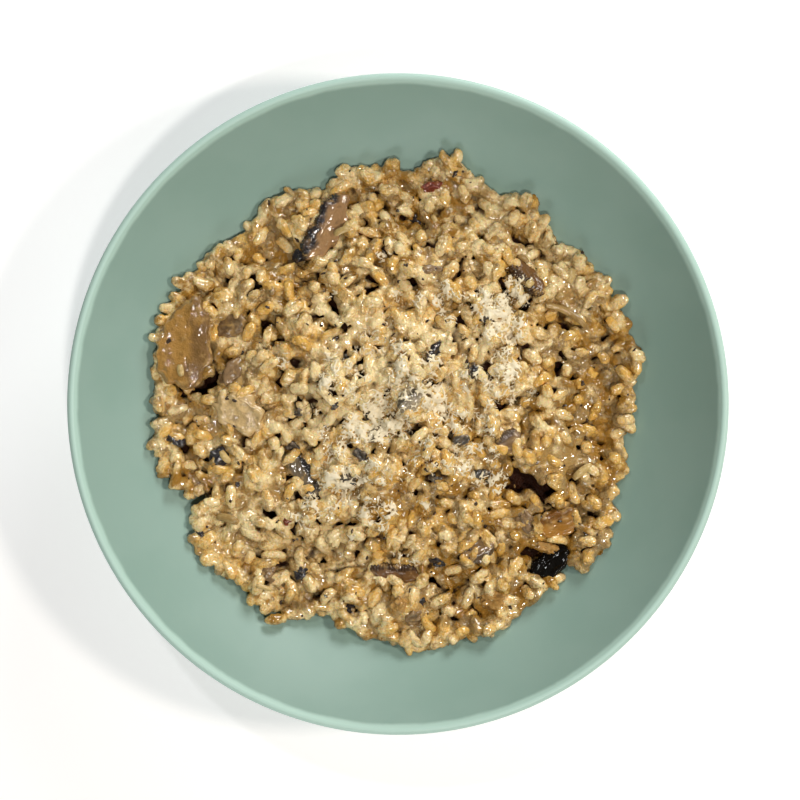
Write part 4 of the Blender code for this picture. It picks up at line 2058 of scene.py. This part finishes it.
@dataclass
class Strips:
    """Thin limp strips that drape over the food, in one piece.

    Attributes:
        ground: what they lie on.
        steps: stations along each strip.
        steepest: the steepest that a strip hangs.
    """

    name: str
    slot: str
    ground: Ground
    finish: MoistFinish
    steps: int = 6
    steepest: float = 0.5
    swarm: Swarm = field(default_factory=Swarm)
    count: int = 0

    def __post_init__(self) -> None:
        """Makes the bar that every strip is bent from."""
        self.form = bar(self.steps)

    def lay(self, middle: Vector, yaw: float, size: Vector, curl: float, twist: float, tint: float) -> None:
        """Lays one strip, unless it would hang beside the food.

        Args:
            middle: where it lies, in plan.
            yaw: direction that its middle points in.
            size: its length, width and thickness.
            curl: how far it turns from end to end.
            twist: how far it rolls from end to end.
            tint: a number from 0 to 1 that sets its shade.
        """
        path = [Vector((0, 0, 0))]
        for step in range(self.steps):
            heading = yaw + curl * ((step + 0.5) / self.steps - 0.5)
            path.append(path[-1] + toward(heading) * (size.x / self.steps))
        shift = middle - path[self.steps // 2]
        line = self.ground.drape([point + shift for point in path], self.steepest)
        if line is None:
            return
        points = np.empty_like(self.form.points)
        for row, (x, y, z) in enumerate(self.form.points):
            station = round((x + 0.5) * self.steps)
            ahead = line[min(station + 1, self.steps)] - line[max(station - 1, 0)]
            side = Vector((-ahead.y, ahead.x, 0)).normalized()
            up = ahead.normalized().cross(side)
            roll = twist * x
            flat = side * math.cos(roll) + up * math.sin(roll)
            rise = up * math.cos(roll) - side * math.sin(roll)
            taper = 1 - 0.4 * abs(2 * x) ** 3
            offset = flat * (y * size.y * taper) + rise * (z * size.z) + up * (0.5 * size.z)
            points[row] = line[station] + offset
        self.swarm.add(self.form, points, tint)
        self.count += 1

    def build(self) -> Object:
        """Returns the strips as one piece."""
        log.info("%s: %d strips", self.name, self.count)
        return add_piece(self.name, self.swarm.mesh(self.name), self.finish.build(), self.slot)


ONION_LONG = listed(
    Scrap,
    (60.8, 33.0, -27, 17.0, 2.4, 0.8), (62.0, 46.0, 70, 5.0, 3.0, 0.8),
    (-61.0, -41.0, -15, 8.0, 3.0, 0.8), (66.0, -24.0, 40, 8.0, 2.6, 0.8),
    (-20.0, 62.0, 20, 6.0, 2.4, 0.8),
)


@dataclass
class Onion(Laid):
    """Soft strips of onion among the rice.

    Attributes:
        strips: those that lie in known places.
        more: number of small ones strewn about.
    """

    strips: tuple[Scrap, ...] = ONION_LONG
    more: int = 10
    seed: int = 31

    def build(self) -> Object:
        """Returns the onion as one piece."""
        dice = Random(self.seed)
        onion = (0.62, 0.44, 0.17), (0.36, 0.22, 0.07)
        finish = MoistFinish("soft_onion", *onion, roughness=0.22, coat=0.5, bump=0.15 * MM)
        laid = Strips("onion_strips", "onion", self.ground, finish, steps=10, steepest=0.35)
        for strip in self.strips:
            place = Vector((strip.x, strip.y, 0)) * MM
            size = Vector((strip.length, strip.width, strip.thickness)) * MM
            laid.lay(place, math.radians(strip.yaw), size, dice.uniform(-0.9, 0.9), 0.8, dice.random())
        for _ in range(self.more):
            place = Vector((*anywhere(dice, 0.95 * self.surface.reach), 0))
            size = Vector((dice.uniform(2.6, 5.5), dice.uniform(1.4, 2.6), 0.6)) * MM
            yaw, curl = dice.uniform(0, math.tau), dice.uniform(-1.2, 1.2)
            laid.lay(place, yaw, size, curl, dice.uniform(-1, 1), dice.random())
        return laid.build()


class Shower(NamedTuple):
    """A place where grated cheese fell, in millimetres, and how many shreds fell there."""

    x: float
    y: float
    radius: float
    shreds: int


SHOWERS = listed(
    Shower,
    (36.1, 35.7, 8.0, 250), (37.9, 26.1, 7.0, 140), (38.9, 10.5, 7.0, 130), (-6.6, -3.7, 9.5, 260),
    (9.4, 2.0, 7.5, 120), (-21.5, -28.0, 10.0, 180), (-19.0, -7.6, 6.0, 80), (34.7, -26.5, 4.0, 50),
    (14.8, 36.8, 5.5, 60), (-24.4, 7.3, 6.5, 60), (-32.9, -37.2, 6.5, 50), (-12.0, -33.0, 15.0, 160),
    (24.0, -8.0, 16.0, 170), (0.0, 12.0, 22.0, 240), (4.0, -4.0, 38.0, 320),
)


@dataclass
class Cheese:
    """Finely grated hard cheese: shreds, and crumbs between them.

    Attributes:
        ground: what it lies on.
        showers: where it fell.
        crumbs_each: crumbs for each shred.
        in_tuft: shreds that cling together in a tuft.
        tuft: how wide a tuft is.
        spread: how far the tufts lie apart, as a share of the shower's radius.
        crumb: least and most size of a crumb, in millimetres.
        lift: how far above the food a crumb's middle lies.
        voxel: smallest detail.
        unevenness: of its skin.
    """

    ground: Ground
    showers: tuple[Shower, ...] = SHOWERS
    crumbs_each: float = 0.8
    in_tuft: int = 8
    tuft: float = 1.3 * MM
    spread: float = 0.55
    crumb: Span = (0.4, 0.9)
    lift: float = 0.1 * MM
    voxel: float = 0.23 * MM
    unevenness: float = 0.15 * MM
    most_triangles: int = 190000
    seed: int = 41

    def tufts(self, shower: Shower, dice: Random) -> list[Vector]:
        """Returns where the tufts under a shower lie, in plan."""
        middle = Vector((shower.x, shower.y, 0)) * MM
        places = []
        for _ in range(max(1, shower.shreds // self.in_tuft)):
            away = Vector((dice.gauss(0, self.spread), dice.gauss(0, self.spread), 0))
            places.append(middle + away * (shower.radius * MM))
        return places

    def near(self, tufts: list[Vector], dice: Random) -> Vector:
        """Returns a random place in one of the tufts."""
        return dice.choice(tufts) + Vector((dice.gauss(0, self.tuft), dice.gauss(0, self.tuft), 0))

    def build(self) -> Object:
        """Returns the shreds and the crumbs, half melted together, as one piece."""
        dice = Random(self.seed)
        finish = MoistFinish("melting_cheese", (0.97, 0.92, 0.79), (0.84, 0.73, 0.50), 0.45, 0.15)
        laid = Strips("grated_cheese", "cheese", self.ground, finish, steps=4, steepest=1.4)
        for shower in self.showers:
            tufts = self.tufts(shower, dice)
            for _ in range(shower.shreds):
                length = dice.triangular(0.8, 3.4, 1.3)
                size = Vector((length, dice.uniform(0.3, 0.75), dice.uniform(0.25, 0.4))) * MM
                yaw, curl = dice.uniform(0, math.tau), dice.gauss(0, 1.0)
                laid.lay(self.near(tufts, dice), yaw, size, curl, dice.gauss(0, 0.8), dice.random())
            for _ in range(int(shower.shreds * self.crumbs_each)):
                self.drop(laid.swarm, self.near(tufts, dice), dice)
        log.info("%d shreds of cheese", laid.count)
        mesh = grown_together(laid.swarm.mesh("shreds"), laid.name, self.voxel, 1)
        push_out(mesh, noise_at(points_of(mesh), 0.8 * MM) * self.unevenness)
        return add_piece(laid.name, thinned(mesh, self.most_triangles), finish.build(), "cheese")

    def drop(self, crumbs: Swarm, place: Vector, dice: Random) -> None:
        """Lets one crumb fall.

        Args:
            crumbs: what it is added to.
            place: where it falls, in plan.
            dice: the source of chance.
        """
        height = self.ground.height(place.x, place.y)
        if height is None:
            return
        form = ball(1)
        spot = (place.x, place.y, height + self.lift)
        size = [dice.uniform(*self.crumb) * MM for _ in range(3)]
        crumbs.add(form, form.placed(placing(spot, tumbled(dice), size)), dice.random())


# Studio


class Lamp(NamedTuple):
    """A square light, seen from the dish at an azimuth and an elevation in degrees."""

    name: str
    azimuth: float
    elevation: float
    size: float
    watts: float
    colour: Colour


LAMPS = (
    Lamp("window", 67, 22, 0.45, 7.0, (0.97, 1.0, 1.0)),
    Lamp("warm", 0, 50, 0.12, 4.7, (1.0, 0.91, 0.83)),
    Lamp("low", 262, 20, 0.40, 2.2, (0.97, 1.0, 1.0)),
    Lamp("gloss", 285, 72, 0.08, 3.9, (1.0, 0.97, 0.93)),
    Lamp("spark", 120, 60, 0.05, 1.6, (1.0, 1.0, 1.0)),
)


@dataclass
class Studio:
    """The floor, the lights and the camera.

    Attributes:
        rim_height: of the bowl's lip, where the camera's frame is measured.
        camera_height: above the lip.
        view_width: of the frame at the lip.
        light_distance: from the dish to each light.
        daylight: strength of the even light all round.
        floor_glow: strength of the light from the floor, which keeps it pale.
        off_centre: how far the camera hangs from the bowl's axis.
    """

    rim_height: float
    camera_height: float = 0.6
    view_width: float = 277.4 * MM
    sensor: float = 36.0
    light_distance: float = 1.1
    daylight: float = 0.03
    floor_glow: float = 0.3
    floor_pale: Colour = (0.90, 0.90, 0.90)
    floor_paler: Colour = (0.92, 0.92, 0.92)
    off_centre: tuple[float, float] = (0.7 * MM, 1.4 * MM)

    def floor(self) -> None:
        """Lays the floor."""
        made = bmesh.new()
        bmesh.ops.create_grid(made, x_segments=1, y_segments=1, size=2.0)
        material, sheet = new_material("pale_floor")
        sheet.dress(
            {
                "Base Color": sheet.mix(sheet.mottle(0.4, 0.3, 0.7), self.floor_pale, self.floor_paler),
                "Roughness": 0.7,
                "Emission Color": (1.0, 1.0, 1.0),
                "Emission Strength": self.floor_glow,
            }
        )
        mesh = mesh_of(made, "floor")
        mesh.materials.append(material)
        put("floor", mesh)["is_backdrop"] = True

    def light(self, lamp: Lamp) -> None:
        """Hangs a square light that faces the dish."""
        made = bpy.data.lights.new(lamp.name, "AREA")
        made.size = lamp.size
        made.energy = lamp.watts
        made.color = lamp.colour
        hung = put(lamp.name, made)
        azimuth, height = math.radians(lamp.azimuth), math.radians(lamp.elevation)
        level = math.cos(height)
        place = Vector((level * math.cos(azimuth), level * math.sin(azimuth), math.sin(height)))
        hung.location = place * self.light_distance
        hung.rotation_euler = (-place).to_track_quat("-Z", "Y").to_euler()

    def lights(self) -> None:
        """Hangs the lights, and a dim even light all round."""
        for lamp in LAMPS:
            self.light(lamp)
        world = bpy.data.worlds.new("studio")
        world.use_nodes = True
        background = world.node_tree.nodes["Background"]
        background.inputs["Color"].default_value = (1, 1, 1, 1)
        background.inputs["Strength"].default_value = self.daylight
        bpy.context.scene.world = world

    def camera(self) -> None:
        """Hangs the camera straight above the bowl."""
        lens = bpy.data.cameras.new("camera")
        lens.sensor_width = self.sensor
        lens.lens = self.sensor * self.camera_height / self.view_width
        hung = put("camera", lens)
        hung.location = (*self.off_centre, self.rim_height + self.camera_height)
        bpy.context.scene.camera = hung
        bpy.context.scene.view_settings.view_transform = "Standard"

    def build(self) -> None:
        """Sets up the whole studio."""
        self.floor()
        self.lights()
        self.camera()


def write_sizes() -> None:
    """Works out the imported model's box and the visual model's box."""
    boxes = {"cad": CAD_BOUNDS, "visual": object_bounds()}
    plain = {name: [[float(value) for value in corner] for corner in box] for name, box in boxes.items()}


def main() -> None:
    """Builds the dish and the studio, piece after piece."""
    logging.basicConfig(level=logging.INFO, format="%(relativeCreated)7d %(message)s")
    _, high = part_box("bowl")
    shape = BowlShape(radius=high.x, height=high.z)
    Bowl(shape).build()
    surface = HeapSurface(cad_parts["risotto_heap"], shape)
    rice = RiceFinish().build()
    bed = RiceBed(surface, rice).build()
    on_bed = Ground([bed])
    toppings = MushroomSlices().build()
    toppings += [Scraps(on_bed, surface, finish, scraps).build() for finish, scraps in SCRAPS]
    grains = LooseGrains(on_bed, surface, toppings, rice).build()
    food = [bed, *toppings, *grains]
    flecks = Flecks(Ground(food), surface).build()
    onion = Onion(Ground(food), surface).build()
    Cheese(Ground([*food, flecks, onion])).build()
    Studio(rim_height=shape.height).build()
    write_sizes()


if __name__ == "__main__":
    main()
